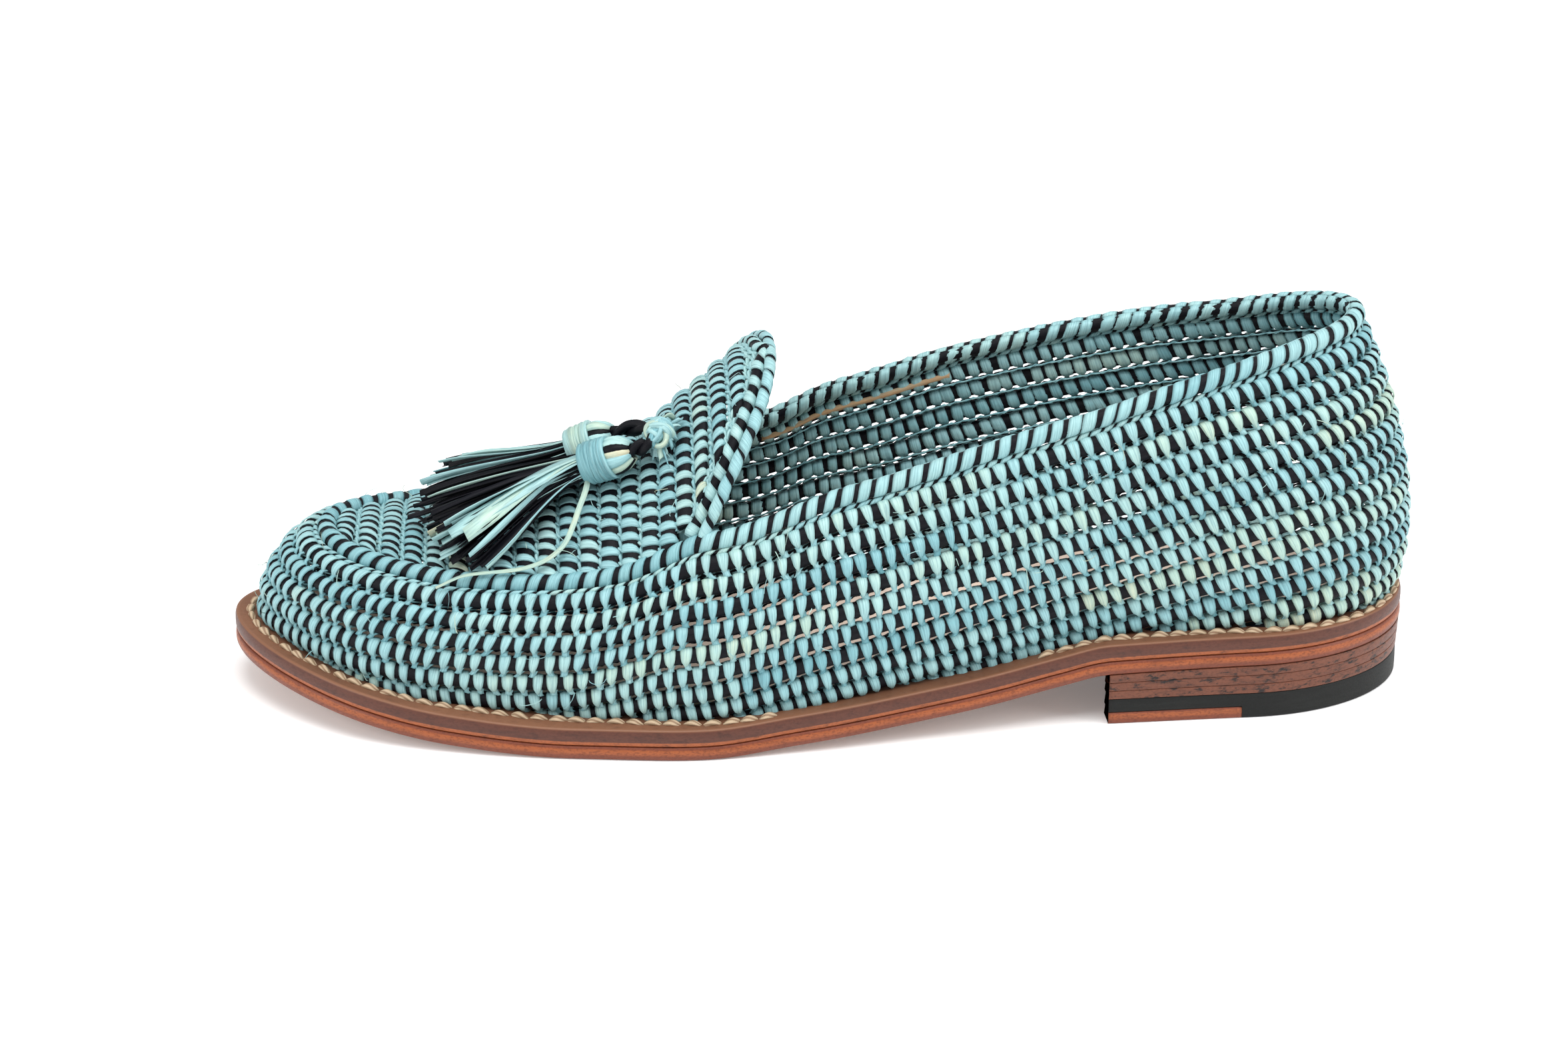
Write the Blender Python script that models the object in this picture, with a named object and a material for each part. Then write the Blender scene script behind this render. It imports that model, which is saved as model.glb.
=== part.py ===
"""A raffia moccasin: a coiled raffia upper with an apron and tongue, on a welted leather sole.

Units are metres. The toe points along -X, the outer side of this left shoe faces -Y, and the
floor is the plane z = 0. "along" is the distance from the toe tip of the sole towards the heel,
and "across" is the distance from the shoe's long axis towards the inner side.
"""

import math

import bmesh
import bpy
import numpy as np

# Driving dimensions of the sole
SOLE_LENGTH = 0.268
HEEL_BREAST = 0.1978
OUTSOLE_THICK = 0.0031
MIDSOLE_THICK = 0.0040
INSOLE_THICK = 0.0022
EDGE_CHAMFER = 0.0006
SEAT_GAP = 0.0003

# Driving dimensions of the heel, from the floor up
TOP_LIFT = 0.0060
TIP_THICK = 0.0027
TIP_LENGTH = 0.0305
LIFT_COUNT = 3
HEEL_TAPER = 0.0005
BREAST_SKEW = 0.0080

# Driving dimensions of the coiled raffia
ROW_PITCH = 0.0053
ROW_COUNT = 14
APRON_PITCH = 0.0052
ROW_THICK = 0.0042
RIM_THICK = 0.0048
TONGUE_RIM_THICK = 0.0034
VALLEY_SHARE = 0.36
RIM_CREST = 0.0016
THROAT = 0.1060
TONGUE_TIP = 0.1228
UNDER_WELT = 0.0050
APRON_TUCK = 0.0014

# Driving dimensions of the tassels
HEAD_RADIUS = 0.0041
STRIP_WIDTH = 0.0034
STRIP_THICK = 0.0013
CORD_RADIUS = 0.0018
KNOT_RADIUS = 0.0027
KNOT_STRETCH = 1.15

# The part's origin: the middle of its outline, on the floor
ORIGIN_ALONG = 0.1347
ORIGIN_ACROSS = -0.0012


def columns(names, rows):
    """A short table as a dictionary of its named columns."""
    return dict(zip(names.split(), np.array(rows, float).T))


SOLE_PLAN = columns("along centre lateral medial", (
    (0.000, 0.0070, 0.0370, 0.0320),
    (0.015, 0.0066, 0.0413, 0.0345),
    (0.030, 0.0060, 0.0438, 0.0362),
    (0.050, 0.0050, 0.0444, 0.0378),
    (0.075, 0.0030, 0.0459, 0.0395),
    (0.098, 0.0010, 0.0460, 0.0410),
    (0.130, -0.0005, 0.0415, 0.0365),
    (0.160, -0.0012, 0.0353, 0.0290),
    (0.198, 0.0005, 0.0307, 0.0280),
    (0.235, 0.0025, 0.0305, 0.0292),
    (0.268, 0.0030, 0.0298, 0.0298),
))
SOLE_ROUNDS = (0.062, 0.038)

SOLE_BOTTOM = columns("along height", (
    (0.000, 0.0090),
    (0.025, 0.0050),
    (0.050, 0.0016),
    (0.078, 0.0000),
    (0.106, 0.0000),
    (0.127, 0.0019),
    (0.142, 0.0034),
    (0.157, 0.0052),
    (0.172, 0.0074),
    (0.187, 0.0102),
    (0.198, 0.0122),
    (0.268, 0.0133),
))

WELT_MARGIN = columns("along width", (
    (0.000, 0.0070),
    (0.040, 0.0077),
    (0.060, 0.0083),
    (0.098, 0.0072),
    (0.127, 0.0058),
    (0.158, 0.0066),
    (0.212, 0.0070),
    (0.235, 0.0060),
    (0.268, 0.0033),
))

RIM_PLAN = columns("along centre lateral medial lateral_height medial_height", (
    (0.0217, 0.0060, 0.0260, 0.0200, 0.0368, 0.0368),
    (0.0385, 0.0050, 0.0265, 0.0195, 0.0360, 0.0360),
    (0.0530, 0.0040, 0.0285, 0.0225, 0.0356, 0.0366),
    (0.0690, 0.0030, 0.0312, 0.0260, 0.0363, 0.0382),
    (0.0840, 0.0020, 0.0325, 0.0290, 0.0382, 0.0407),
    (0.0910, 0.0015, 0.0328, 0.0300, 0.0402, 0.0425),
    (0.0980, 0.0010, 0.0332, 0.0308, 0.0435, 0.0450),
    (0.1060, 0.0005, 0.0330, 0.0313, 0.0472, 0.0475),
    (0.1140, 0.0000, 0.0325, 0.0314, 0.0488, 0.0488),
    (0.1250, 0.0000, 0.0315, 0.0310, 0.0524, 0.0520),
    (0.1360, 0.0000, 0.0308, 0.0300, 0.0566, 0.0578),
    (0.1470, 0.0000, 0.0300, 0.0290, 0.0594, 0.0616),
    (0.1640, 0.0000, 0.0285, 0.0275, 0.0643, 0.0675),
    (0.1780, 0.0000, 0.0270, 0.0260, 0.0683, 0.0714),
    (0.1920, 0.0000, 0.0255, 0.0247, 0.0718, 0.0748),
    (0.2070, 0.0005, 0.0248, 0.0238, 0.0765, 0.0775),
    (0.2310, 0.0012, 0.0240, 0.0234, 0.0828, 0.0810),
    (0.2422, 0.0014, 0.0238, 0.0232, 0.0853, 0.0837),
    (0.2545, 0.0015, 0.0235, 0.0230, 0.0870, 0.0870),
))
RIM_ROUNDS = (0.034, 0.052)

WALL_HANDLES = columns("along rim_out rim_drop feather_out feather_rise", (
    (0.000, 0.0085, 0.0020, 0.0012, 0.0090),
    (0.060, 0.0090, 0.0050, 0.0045, 0.0120),
    (0.110, 0.0070, 0.0110, 0.0060, 0.0150),
    (0.160, 0.0055, 0.0160, 0.0075, 0.0170),
    (0.210, 0.0060, 0.0190, 0.0070, 0.0180),
    (0.268, 0.0090, 0.0200, 0.0075, 0.0180),
))

APRON_RIDGE = columns("along height", (
    (0.0217, 0.0368),
    (0.0300, 0.0372),
    (0.0400, 0.0380),
    (0.0500, 0.0397),
    (0.0600, 0.0427),
    (0.0750, 0.0486),
    (0.0860, 0.0545),
    (0.0970, 0.0615),
    (0.1024, 0.0668),
    (0.1084, 0.0722),
    (0.1145, 0.0766),
    (0.1190, 0.0789),
    (0.1228, 0.0805),
))

TONGUE_EDGE = columns("along lateral medial lateral_height medial_height", (
    (0.1060, 0.0330, 0.0313, 0.0472, 0.0475),
    (0.1096, 0.0312, 0.0302, 0.0552, 0.0560),
    (0.1128, 0.0285, 0.0282, 0.0614, 0.0630),
    (0.1160, 0.0246, 0.0250, 0.0668, 0.0694),
    (0.1192, 0.0190, 0.0202, 0.0724, 0.0750),
    (0.1217, 0.0115, 0.0124, 0.0775, 0.0788),
    (0.1228, 0.0035, 0.0035, 0.0803, 0.0804),
))


# Where the tassels lie over the apron: the head's two ends, then the strips' ends
TASSELS = {
    "lateral": columns("along share lift", (
        (0.0952, -0.39, 0.0046),
        (0.0838, -0.29, 0.0046),
        (0.0438, -0.18, 0.0062),
        (0.0435, -0.36, 0.0078),
        (0.0440, -0.56, 0.0046),
        (0.0456, -0.74, 0.0026),
        (0.0520, -0.76, 0.0072),
        (0.0486, -0.88, 0.0026),
        (0.0535, -0.95, 0.0018),
    )),
    "medial": columns("along share lift", (
        (0.0908, -0.13, 0.0046),
        (0.0812, -0.05, 0.0046),
        (0.0565, 0.16, 0.0105),
        (0.0528, 0.22, 0.0088),
        (0.0480, 0.14, 0.0074),
        (0.0435, 0.12, 0.0060),
        (0.0455, 0.36, 0.0052),
        (0.0470, 0.56, 0.0040),
        (0.0505, 0.76, 0.0028),
    )),
}
KNOT_PLACE = (0.1007, -0.36)


def smooth(at, knots, values):
    """A cubic through the knots that never overshoots, so a flat stretch of a table stays flat."""
    at = np.clip(np.asarray(at, float), knots[0], knots[-1])
    steps = np.diff(knots)
    slopes = np.diff(values) / steps
    tangents = np.concatenate([slopes[:1], slopes[1:], slopes[-1:]])
    before, after = slopes[:-1], slopes[1:]
    agree = before * after > 0
    weights = (2 * steps[1:] + steps[:-1], steps[1:] + 2 * steps[:-1])
    parts = weights[0] / np.where(agree, before, 1) + weights[1] / np.where(agree, after, 1)
    tangents[1:-1] = np.where(agree, (weights[0] + weights[1]) / np.where(agree, parts, 1), 0)
    cell = np.clip(np.searchsorted(knots, at, side="right") - 1, 0, len(steps) - 1)
    step = steps[cell]
    share = (at - knots[cell]) / step
    back = 1 - share
    return (
        values[cell] * (1 + 2 * share) * back**2
        + values[cell + 1] * (3 - 2 * share) * share**2
        + tangents[cell] * step * share * back**2
        - tangents[cell + 1] * step * share**2 * back
    )


def read(table, column, along):
    return smooth(along, table["along"], table[column])


def round_end(distance, length):
    """The share of full width at this distance from an end that is half an ellipse."""
    gone = 1 - np.clip(distance / length, 0, 1)
    return np.sqrt(1 - gone**2)


def outline(plan, rounds, turn):
    """A closed plan curve: turn 0 is the toe, 1 the heel by the outer side, 2 the toe by the inner."""
    first, last = plan["along"][0], plan["along"][-1]
    along = first + (last - first) * (1 - np.cos(math.pi * turn)) / 2
    outer = np.mod(turn, 2) <= 1
    half = np.where(outer, read(plan, "lateral", along), read(plan, "medial", along))
    half = half * round_end(along - first, rounds[0]) * round_end(last - along, rounds[1])
    across = read(plan, "centre", along) + np.where(outer, -half, half)
    return np.stack([along, across], -1)


def outward(plan, rounds, turn):
    """The unit normal of a plan curve, pointing away from the shoe's axis."""
    nudge = 1e-3
    run = outline(plan, rounds, turn + nudge) - outline(plan, rounds, turn - nudge)
    normal = np.stack([run[..., 1], -run[..., 0]], -1)
    return normal / np.linalg.norm(normal, axis=-1, keepdims=True)


def turn_at(along, length=SOLE_LENGTH):
    """The turn on the outer side of the sole that lies this far from the toe."""
    return math.acos(1 - 2 * along / length) / math.pi


def sole_edge(turn, inset):
    """The sole's outline, moved in by inset."""
    normal = outward(SOLE_PLAN, SOLE_ROUNDS, turn)
    return outline(SOLE_PLAN, SOLE_ROUNDS, turn) - normal * np.expand_dims(inset, -1)


def bottom_height(along):
    return read(SOLE_BOTTOM, "height", along)


def welt_height(along):
    """The top of the midsole, on which the upper stands."""
    return bottom_height(along) + OUTSOLE_THICK + SEAT_GAP + MIDSOLE_THICK


def placed(along, across, height):
    """Points in the part's frame."""
    along, across, height = np.broadcast_arrays(along, across, height)
    return np.stack([along - ORIGIN_ALONG, across - ORIGIN_ACROSS, height], -1)


# The upper's surface

def feather_line(turn):
    """Where the middle of the upper's wall meets the welt."""
    along = outline(SOLE_PLAN, SOLE_ROUNDS, turn)[..., 0]
    edge = sole_edge(turn, read(WELT_MARGIN, "width", along))
    return np.concatenate([edge, welt_height(edge[..., :1])], -1)


def rim_line(turn):
    """The middle of the rim: the collar's edge behind the throat and the apron's seam before it."""
    plan = outline(RIM_PLAN, RIM_ROUNDS, turn)
    along = plan[..., 0]
    side = (plan[..., 1] - read(RIM_PLAN, "centre", along))
    reach = np.where(side < 0, read(RIM_PLAN, "lateral", along), read(RIM_PLAN, "medial", along))
    share = (np.clip(side / reach, -1, 1) + 1) / 2
    low, high = read(RIM_PLAN, "lateral_height", along), read(RIM_PLAN, "medial_height", along)
    height = low + (high - low) * share
    return np.concatenate([plan, height[..., None]], -1)


def wall_profiles(turn, samples=48):
    """Curves from the rim down to the feather line, one for each turn: (turns, samples, 3)."""
    rim, feather = rim_line(turn), feather_line(turn)
    out = np.concatenate([outward(SOLE_PLAN, SOLE_ROUNDS, turn), np.zeros((len(turn), 1))], -1)
    up = np.array([0.0, 0.0, 1.0])
    along = outline(SOLE_PLAN, SOLE_ROUNDS, turn)[:, 0]
    handle = {name: read(WALL_HANDLES, name, along)[:, None] for name in WALL_HANDLES}
    rim_handle = rim + out * handle["rim_out"] - up * handle["rim_drop"]
    feather_handle = feather + out * handle["feather_out"] + up * handle["feather_rise"]
    share = np.linspace(0, 1, samples)[None, :, None]
    back = 1 - share
    return (
        rim[:, None] * back**3
        + rim_handle[:, None] * 3 * back**2 * share
        + feather_handle[:, None] * 3 * back * share**2
        + feather[:, None] * share**3
    )


def wall_grid(turn, depths):
    """Points at these depths below the rim, measured along the wall: (turns, depths, 3)."""
    curves = wall_profiles(turn)
    grid = np.empty((len(turn), len(depths), 3))
    for i, curve in enumerate(curves):
        lengths = np.concatenate([[0], np.cumsum(np.linalg.norm(np.diff(curve, axis=0), axis=1))])
        for axis in range(3):
            grid[i, :, axis] = np.interp(depths, lengths, curve[:, axis])
        past = np.clip(depths - lengths[-1], 0, UNDER_WELT)[:, None]
        above = np.clip(-depths, 0, None)[:, None]
        down = curve[-1] - curve[-4]
        lift = curve[0] - curve[2]
        grid[i] += past * down / np.linalg.norm(down) + above * lift / np.linalg.norm(lift)
    return grid


def apron_edges(along):
    """The outer and inner ends of the apron's cross row at this place: two arrays of points."""
    first, last = RIM_PLAN["along"][0], RIM_PLAN["along"][-1]
    turn = np.arccos(np.clip(1 - 2 * (along - first) / (last - first), -1, 1)) / math.pi
    seam = rim_line(turn), rim_line(2 - turn)
    ends = []
    for sign, side, points in ((-1, "lateral", seam[0]), (1, "medial", seam[1])):
        across = read(RIM_PLAN, "centre", along) + sign * read(TONGUE_EDGE, side, along)
        free = np.stack([along, across, read(TONGUE_EDGE, side + "_height", along)], -1)
        ends.append(np.where((along > THROAT)[:, None], free, points))
    return ends


def apron_grid(along, shares):
    """Points of the apron and tongue: shares run from -1 at the outer edge to 1 at the inner."""
    outer, inner = apron_edges(along)
    blend = (shares[None, :, None] + 1) / 2
    grid = outer[:, None] * (1 - blend) + inner[:, None] * blend
    crown = read(APRON_RIDGE, "height", along) - (outer[:, 2] + inner[:, 2]) / 2
    grid[..., 2] += crown[:, None] * (1 - shares[None, :] ** 2)
    return grid


# Mesh helpers

def material(name, colour, roughness):
    made = bpy.data.materials.new(name)
    made.use_nodes = True
    shader = made.node_tree.nodes["Principled BSDF"]
    shader.inputs["Base Color"].default_value = (*colour, 1)
    shader.inputs["Roughness"].default_value = roughness
    made.diffuse_color = (*colour, 1)
    return made


def add_object(name, mesh, finish, helper=False):
    made = bpy.data.objects.new(name, mesh)
    bpy.context.scene.collection.objects.link(made)
    if finish:
        mesh.materials.append(finish)
    if helper:
        made.hide_render = True
        made.display_type = "WIRE"
    return made


def mesh_from(name, points, faces):
    """A mesh with its doubles merged and its faces pointing out."""
    shape = bmesh.new()
    corners = [shape.verts.new(p) for p in points]
    for face in faces:
        shape.faces.new([corners[i] for i in face])
    bmesh.ops.remove_doubles(shape, verts=shape.verts, dist=1e-6)
    bmesh.ops.dissolve_degenerate(shape, edges=shape.edges, dist=1e-7)
    bmesh.ops.recalc_face_normals(shape, faces=shape.faces)
    mesh = bpy.data.meshes.new(name)
    shape.to_mesh(mesh)
    shape.free()
    return mesh


def box(name, low, high):
    """A box-shaped cutter between two corners."""
    ends = np.stack([low, high])
    corners = [(x, y, z) for x in ends[:, 0] for y in ends[:, 1] for z in ends[:, 2]]
    faces = [(0, 1, 3, 2), (4, 6, 7, 5), (0, 4, 5, 1), (2, 3, 7, 6), (0, 2, 6, 4), (1, 5, 7, 3)]
    return add_object(name, mesh_from(name, corners, faces), None, helper=True)


def combine(target, other, operation):
    """Joins the other object to the target, or cuts it away."""
    step = target.modifiers.new(other.name, "BOOLEAN")
    step.operation = operation
    step.solver = "EXACT"
    step.object = other


def grid_faces(rows, across, closed=False):
    """Quads of a grid of rows by across points, joined end to end where closed."""
    faces = []
    for i in range(rows if closed else rows - 1):
        here, there = i * across, (i + 1) % rows * across
        faces += [(here + j, there + j, there + j + 1, here + j + 1) for j in range(across - 1)]
    return faces


def loop_faces(count, sides):
    """Quads between neighbouring closed loops of points."""
    faces = []
    for i in range(count - 1):
        here, there = i * sides, (i + 1) * sides
        for j in range(sides):
            after = (j + 1) % sides
            faces.append((here + j, there + j, there + after, here + after))
    return faces


def sweep(path, widths, heights, sides):
    """A closed tube along a path; four sides make a flat strip, more make a rounded one."""
    path = np.asarray(path, float)
    steps = np.diff(path, axis=0)
    steps /= np.linalg.norm(steps, axis=1, keepdims=True)
    run = np.concatenate([steps[:1], steps[:-1] + steps[1:], steps[-1:]])
    run /= np.linalg.norm(run, axis=1, keepdims=True)
    across = np.cross(np.array([0.0, 0.0, 1.0]), run)
    across /= np.linalg.norm(across, axis=1, keepdims=True)
    up = np.cross(run, across)
    angles = 2 * math.pi * (np.arange(sides) + 0.5) / sides
    grow = math.sqrt(2) if sides == 4 else 1.0
    ring = (
        path[:, None]
        + across[:, None] * (np.outer(widths, np.cos(angles)) * grow)[..., None]
        + up[:, None] * (np.outer(heights, np.sin(angles)) * grow)[..., None]
    )
    count = len(path)
    faces = loop_faces(count, sides)
    faces += [tuple(range(sides)), tuple(range((count - 1) * sides, count * sides))]
    return ring.reshape(-1, 3), faces


# The sole

def slab(name, finish, stations, low, high, low_inset, high_inset, inner_stations=None):
    """A layer of the sole between two height functions, over the given stations of the outline.

    Each station gives a closed loop of eight points: the chamfered outer edge and inner edge.
    """
    loops = []
    for sign in (1, -1):
        turn = stations
        if sign < 0:
            turn = 2 - (stations if inner_stations is None else inner_stations)
        rows = (
            (low_inset + EDGE_CHAMFER, low, 0),
            (low_inset, low, EDGE_CHAMFER),
            (high_inset, high, -EDGE_CHAMFER),
            (high_inset + EDGE_CHAMFER, high, 0),
        )
        for inset, height, raised in rows[::sign]:
            edge = sole_edge(turn, inset)
            loops.append(placed(edge[:, 0], edge[:, 1], height(edge[:, 0]) + raised))
    ring = np.stack(loops, 1)
    count, sides = ring.shape[:2]
    faces = loop_faces(count, sides)
    for end in (0, count - 1):
        if not np.allclose(ring[end, 0], ring[end, -1]):
            faces.append(tuple(range(end * sides, end * sides + sides)))
    return add_object(name, mesh_from(name, ring.reshape(-1, 3), faces), finish)


def constant(value):
    return lambda along: np.full_like(along, value)


def heel_stations(breast=HEEL_BREAST):
    return np.linspace(turn_at(breast), 1, 12)


def build_sole(finishes):
    whole = np.concatenate([np.linspace(0, turn_at(HEEL_BREAST), 34)[:-1], heel_stations()])
    slab("outsole", finishes["outsole"], whole, bottom_height,
         lambda a: bottom_height(a) + OUTSOLE_THICK, 0.0, 0.0)
    slab("midsole", finishes["welt"], whole,
         lambda a: bottom_height(a) + OUTSOLE_THICK + SEAT_GAP, welt_height, 0.0, 0.0)
    along = outline(SOLE_PLAN, SOLE_ROUNDS, whole)[:, 0]
    inset = read(WELT_MARGIN, "width", along) + RIM_THICK / 2 + SEAT_GAP
    slab("insole", finishes["insole"], whole,
         lambda a: welt_height(a) + SEAT_GAP,
         lambda a: welt_height(a) + SEAT_GAP + INSOLE_THICK, inset, inset)


def build_heel(finishes):
    stations = heel_stations()
    inner = heel_stations(HEEL_BREAST + BREAST_SKEW)

    def level(share):
        """The stack's height between the top lift and the outsole."""
        return lambda a: TOP_LIFT + (bottom_height(a) - TOP_LIFT) * share

    for i in range(LIFT_COUNT):
        low, high = level(i / LIFT_COUNT), level((i + 1) / LIFT_COUNT)
        slab(f"heel_lift_{i + 1}", finishes["heel_stack"], stations,
             low, lambda a, high=high: high(a) - SEAT_GAP,
             HEEL_TAPER * (1 - i / LIFT_COUNT), HEEL_TAPER * (1 - (i + 1) / LIFT_COUNT), inner)
    tip_end = HEEL_BREAST + TIP_LENGTH
    back = turn_at(tip_end - SEAT_GAP)
    slab("heel_leather_tip", finishes["outsole"], np.linspace(turn_at(HEEL_BREAST), back, 6),
         constant(0.0), constant(TIP_THICK - SEAT_GAP), HEEL_TAPER, HEEL_TAPER,
         np.linspace(turn_at(HEEL_BREAST + BREAST_SKEW), back, 6))
    rubber = slab("heel_rubber", finishes["heel_rubber"], stations,
                  constant(0.0), constant(TOP_LIFT - SEAT_GAP), HEEL_TAPER, HEEL_TAPER, inner)
    seat = box("tip_seat", placed(HEEL_BREAST - 0.02, -0.06, -0.02), placed(tip_end, 0.06, TIP_THICK))
    combine(rubber, seat, "DIFFERENCE")


# The upper

def shell(name, points, weights, faces, finish, helper=False):
    """A surface given thickness on both sides: weight 1 is the rim's thickness."""
    shape = bmesh.new()
    layer = shape.verts.layers.deform.verify()
    corners = [shape.verts.new(p) for p in points]
    for corner, weight in zip(corners, weights):
        corner[layer][0] = weight
    for face in faces:
        shape.faces.new([corners[i] for i in face])
    bmesh.ops.remove_doubles(shape, verts=shape.verts, dist=1e-6)
    bmesh.ops.recalc_face_normals(shape, faces=shape.faces)
    mesh = bpy.data.meshes.new(name)
    shape.to_mesh(mesh)
    shape.free()
    made = add_object(name, mesh, finish, helper)
    made.vertex_groups.new(name="thickness")
    solid = made.modifiers.new("wall", "SOLIDIFY")
    solid.thickness = RIM_THICK
    solid.offset = 0
    solid.vertex_group = "thickness"
    solid.use_rim = True
    return made


def ridge_weights(count):
    """Thickness along a run of crests and valleys, the first and every second line a crest."""
    crest = ROW_THICK / RIM_THICK
    return np.where(np.arange(count) % 2 == 0, crest, VALLEY_SHARE)


def build_upper(finishes):
    count = 50
    turn = np.linspace(0, 2, count, endpoint=False)
    depths = np.concatenate([[-RIM_CREST], np.arange(0, 2 * ROW_COUNT + 1) * ROW_PITCH / 2])
    grid = wall_grid(turn, depths)
    weights = np.concatenate([[0.55], ridge_weights(len(depths) - 1)])
    weights[1] = 1.0
    wall = shell("upper", placed(*np.moveaxis(grid, -1, 0)).reshape(-1, 3), np.tile(weights, count),
                 grid_faces(count, len(depths), closed=True), finishes["raffia"])

    first = RIM_PLAN["along"][0] + 0.0006
    ridge = np.linspace(first, TONGUE_TIP, 200)
    climb = np.diff(read(APRON_RIDGE, "height", ridge))
    run = np.concatenate([[0], np.cumsum(np.hypot(np.diff(ridge), climb))])
    lines = 2 * round(run[-1] / APRON_PITCH) + 1
    along = np.interp(np.linspace(0, run[-1], lines), run, ridge)
    shares = np.linspace(-1, 1, 9)
    outer, inner = apron_edges(along)
    tuck = np.where(along < THROAT, 2 * APRON_TUCK / (inner[:, 1] - outer[:, 1]), 0)
    grid = np.stack([apron_grid(along[i:i + 1], shares * (1 + tuck[i]))[0] for i in range(lines)])
    weights = np.repeat(ridge_weights(lines)[:, None], len(shares), 1)
    weights[:, [0, -1]] = VALLEY_SHARE
    weights[-1] = VALLEY_SHARE
    apron = shell("apron_shell", placed(*np.moveaxis(grid, -1, 0)).reshape(-1, 3), weights.ravel(),
                  grid_faces(lines, len(shares)), None, helper=True)
    combine(wall, apron, "UNION")
    edge = THROAT - 0.001 + (TONGUE_TIP - THROAT + 0.001) * np.sin(np.linspace(0, math.pi / 2, 14))
    outer, inner = apron_edges(edge)
    path = placed(*np.concatenate([outer, inner[::-1]]).T)
    radius = np.full(len(path), TONGUE_RIM_THICK / 2)
    points, faces = sweep(path, radius, radius, 8)
    rim = add_object("tongue_rim", mesh_from("tongue_rim", points, faces), None, helper=True)
    combine(wall, rim, "UNION")

    ground = np.linspace(-0.01, SOLE_LENGTH + 0.01, 60)
    top = welt_height(ground) + SEAT_GAP
    rows = []
    for across, height in ((-0.08, top), (0.08, top), (0.08, -0.06), (-0.08, -0.06)):
        rows.append(placed(ground, across, height))
    ring = np.stack(rows, 1)
    faces = loop_faces(len(ground), 4)
    faces += [(0, 1, 2, 3), tuple(range(len(ring) * 4 - 4, len(ring) * 4))]
    mesh = mesh_from("under_welt", ring.reshape(-1, 3), faces)
    under = add_object("under_welt", mesh, None, helper=True)
    combine(wall, under, "DIFFERENCE")


# The tassels

def apron_frame(along, share):
    """A point of the apron's middle surface and its normal there, in the part's frame."""
    step = 0.001
    rows = np.array([along - step, along, along + step])
    grid = apron_grid(rows, np.array([share - 0.05, share, share + 0.05]))
    grid = placed(*np.moveaxis(grid, -1, 0))
    normal = np.cross(grid[2, 1] - grid[0, 1], grid[1, 2] - grid[1, 0])
    return grid[1, 1], normal / np.linalg.norm(normal)


def over_apron(along, share, lift):
    """A point this far above the crests of the apron's rows."""
    point, normal = apron_frame(along, share)
    return point + normal * (ROW_THICK / 2 + lift)


def straight(start, end, count):
    """Points from start to end."""
    share = np.linspace(0, 1, count)[:, None]
    return start + (end - start) * share


def build_tassel(side, finishes):
    """One tassel: a wrapped head and a fan of flat strips fused to it."""
    name = "tassel_" + side
    places = [over_apron(*row) for row in zip(*TASSELS[side].values())]
    top, bottom, ends = places[0], places[1], places[2:]
    radius = HEAD_RADIUS * np.array([0.45, 0.85, 1.0, 0.95, 0.90, 0.95, 0.70])
    points, faces = sweep(straight(top, bottom, 7), radius, radius, 10)
    head = add_object(name, mesh_from(name, points, faces), finishes["raffia"])
    root = bottom + (top - bottom) * 0.15
    for i, end in enumerate(ends):
        path = straight(root, end, 4)
        width = STRIP_WIDTH / 2 * np.linspace(0.8, 1.0, len(path))
        points, faces = sweep(path, width, np.full(len(path), STRIP_THICK / 2), 4)
        strip = add_object(f"{name}_strip_{i}", mesh_from(name, points, faces), None, helper=True)
        combine(head, strip, "UNION")


def build_knot(finishes):
    """The raffia knot that ties the tassels to the apron, and the two black cords from it."""
    centre = over_apron(*KNOT_PLACE, KNOT_RADIUS + SEAT_GAP)
    ends = np.cos(np.linspace(math.pi, 0, 9)) * KNOT_RADIUS
    path = centre + np.outer(ends, [0.0, 1.0, 0.0]) * KNOT_STRETCH
    radius = np.sqrt(np.clip(KNOT_RADIUS**2 - ends**2, (0.2 * KNOT_RADIUS) ** 2, None))
    points, faces = sweep(path, radius, radius, 12)
    add_object("tassel_knot", mesh_from("tassel_knot", points, faces), finishes["raffia"])
    for side, table in TASSELS.items():
        top, bottom = [over_apron(*(table[c][i] for c in table)) for i in (0, 1)]
        axis = (top - bottom) / np.linalg.norm(top - bottom)
        elbow = top + axis * 0.0035
        run = (elbow - centre) / np.linalg.norm(elbow - centre)
        reach = 1 / np.linalg.norm(run / (KNOT_RADIUS * np.array([1.0, KNOT_STRETCH, 1.0])))
        path = np.stack([centre + run * (reach + SEAT_GAP), elbow, top + axis * SEAT_GAP])
        radius = np.full(len(path), CORD_RADIUS)
        points, faces = sweep(path, radius, radius, 8)
        mesh = mesh_from("tassel_cord", points, faces)
        add_object("tassel_cord_" + side, mesh, finishes["black_raffia"])


FINISHES = {
    "raffia": ((0.20, 0.52, 0.55), 0.55),
    "black_raffia": ((0.03, 0.03, 0.04), 0.5),
    "outsole": ((0.55, 0.22, 0.10), 0.45),
    "welt": ((0.16, 0.07, 0.05), 0.45),
    "heel_stack": ((0.24, 0.11, 0.07), 0.45),
    "heel_rubber": ((0.03, 0.03, 0.03), 0.6),
    "insole": ((0.50, 0.33, 0.20), 0.5),
}


def main():
    for obj in list(bpy.data.objects):
        bpy.data.objects.remove(obj)
    finishes = {name: material(name, *look) for name, look in FINISHES.items()}
    build_sole(finishes)
    build_heel(finishes)
    build_upper(finishes)
    for side in TASSELS:
        build_tassel(side, finishes)
    build_knot(finishes)


if __name__ == "__main__":
    main()
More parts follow.
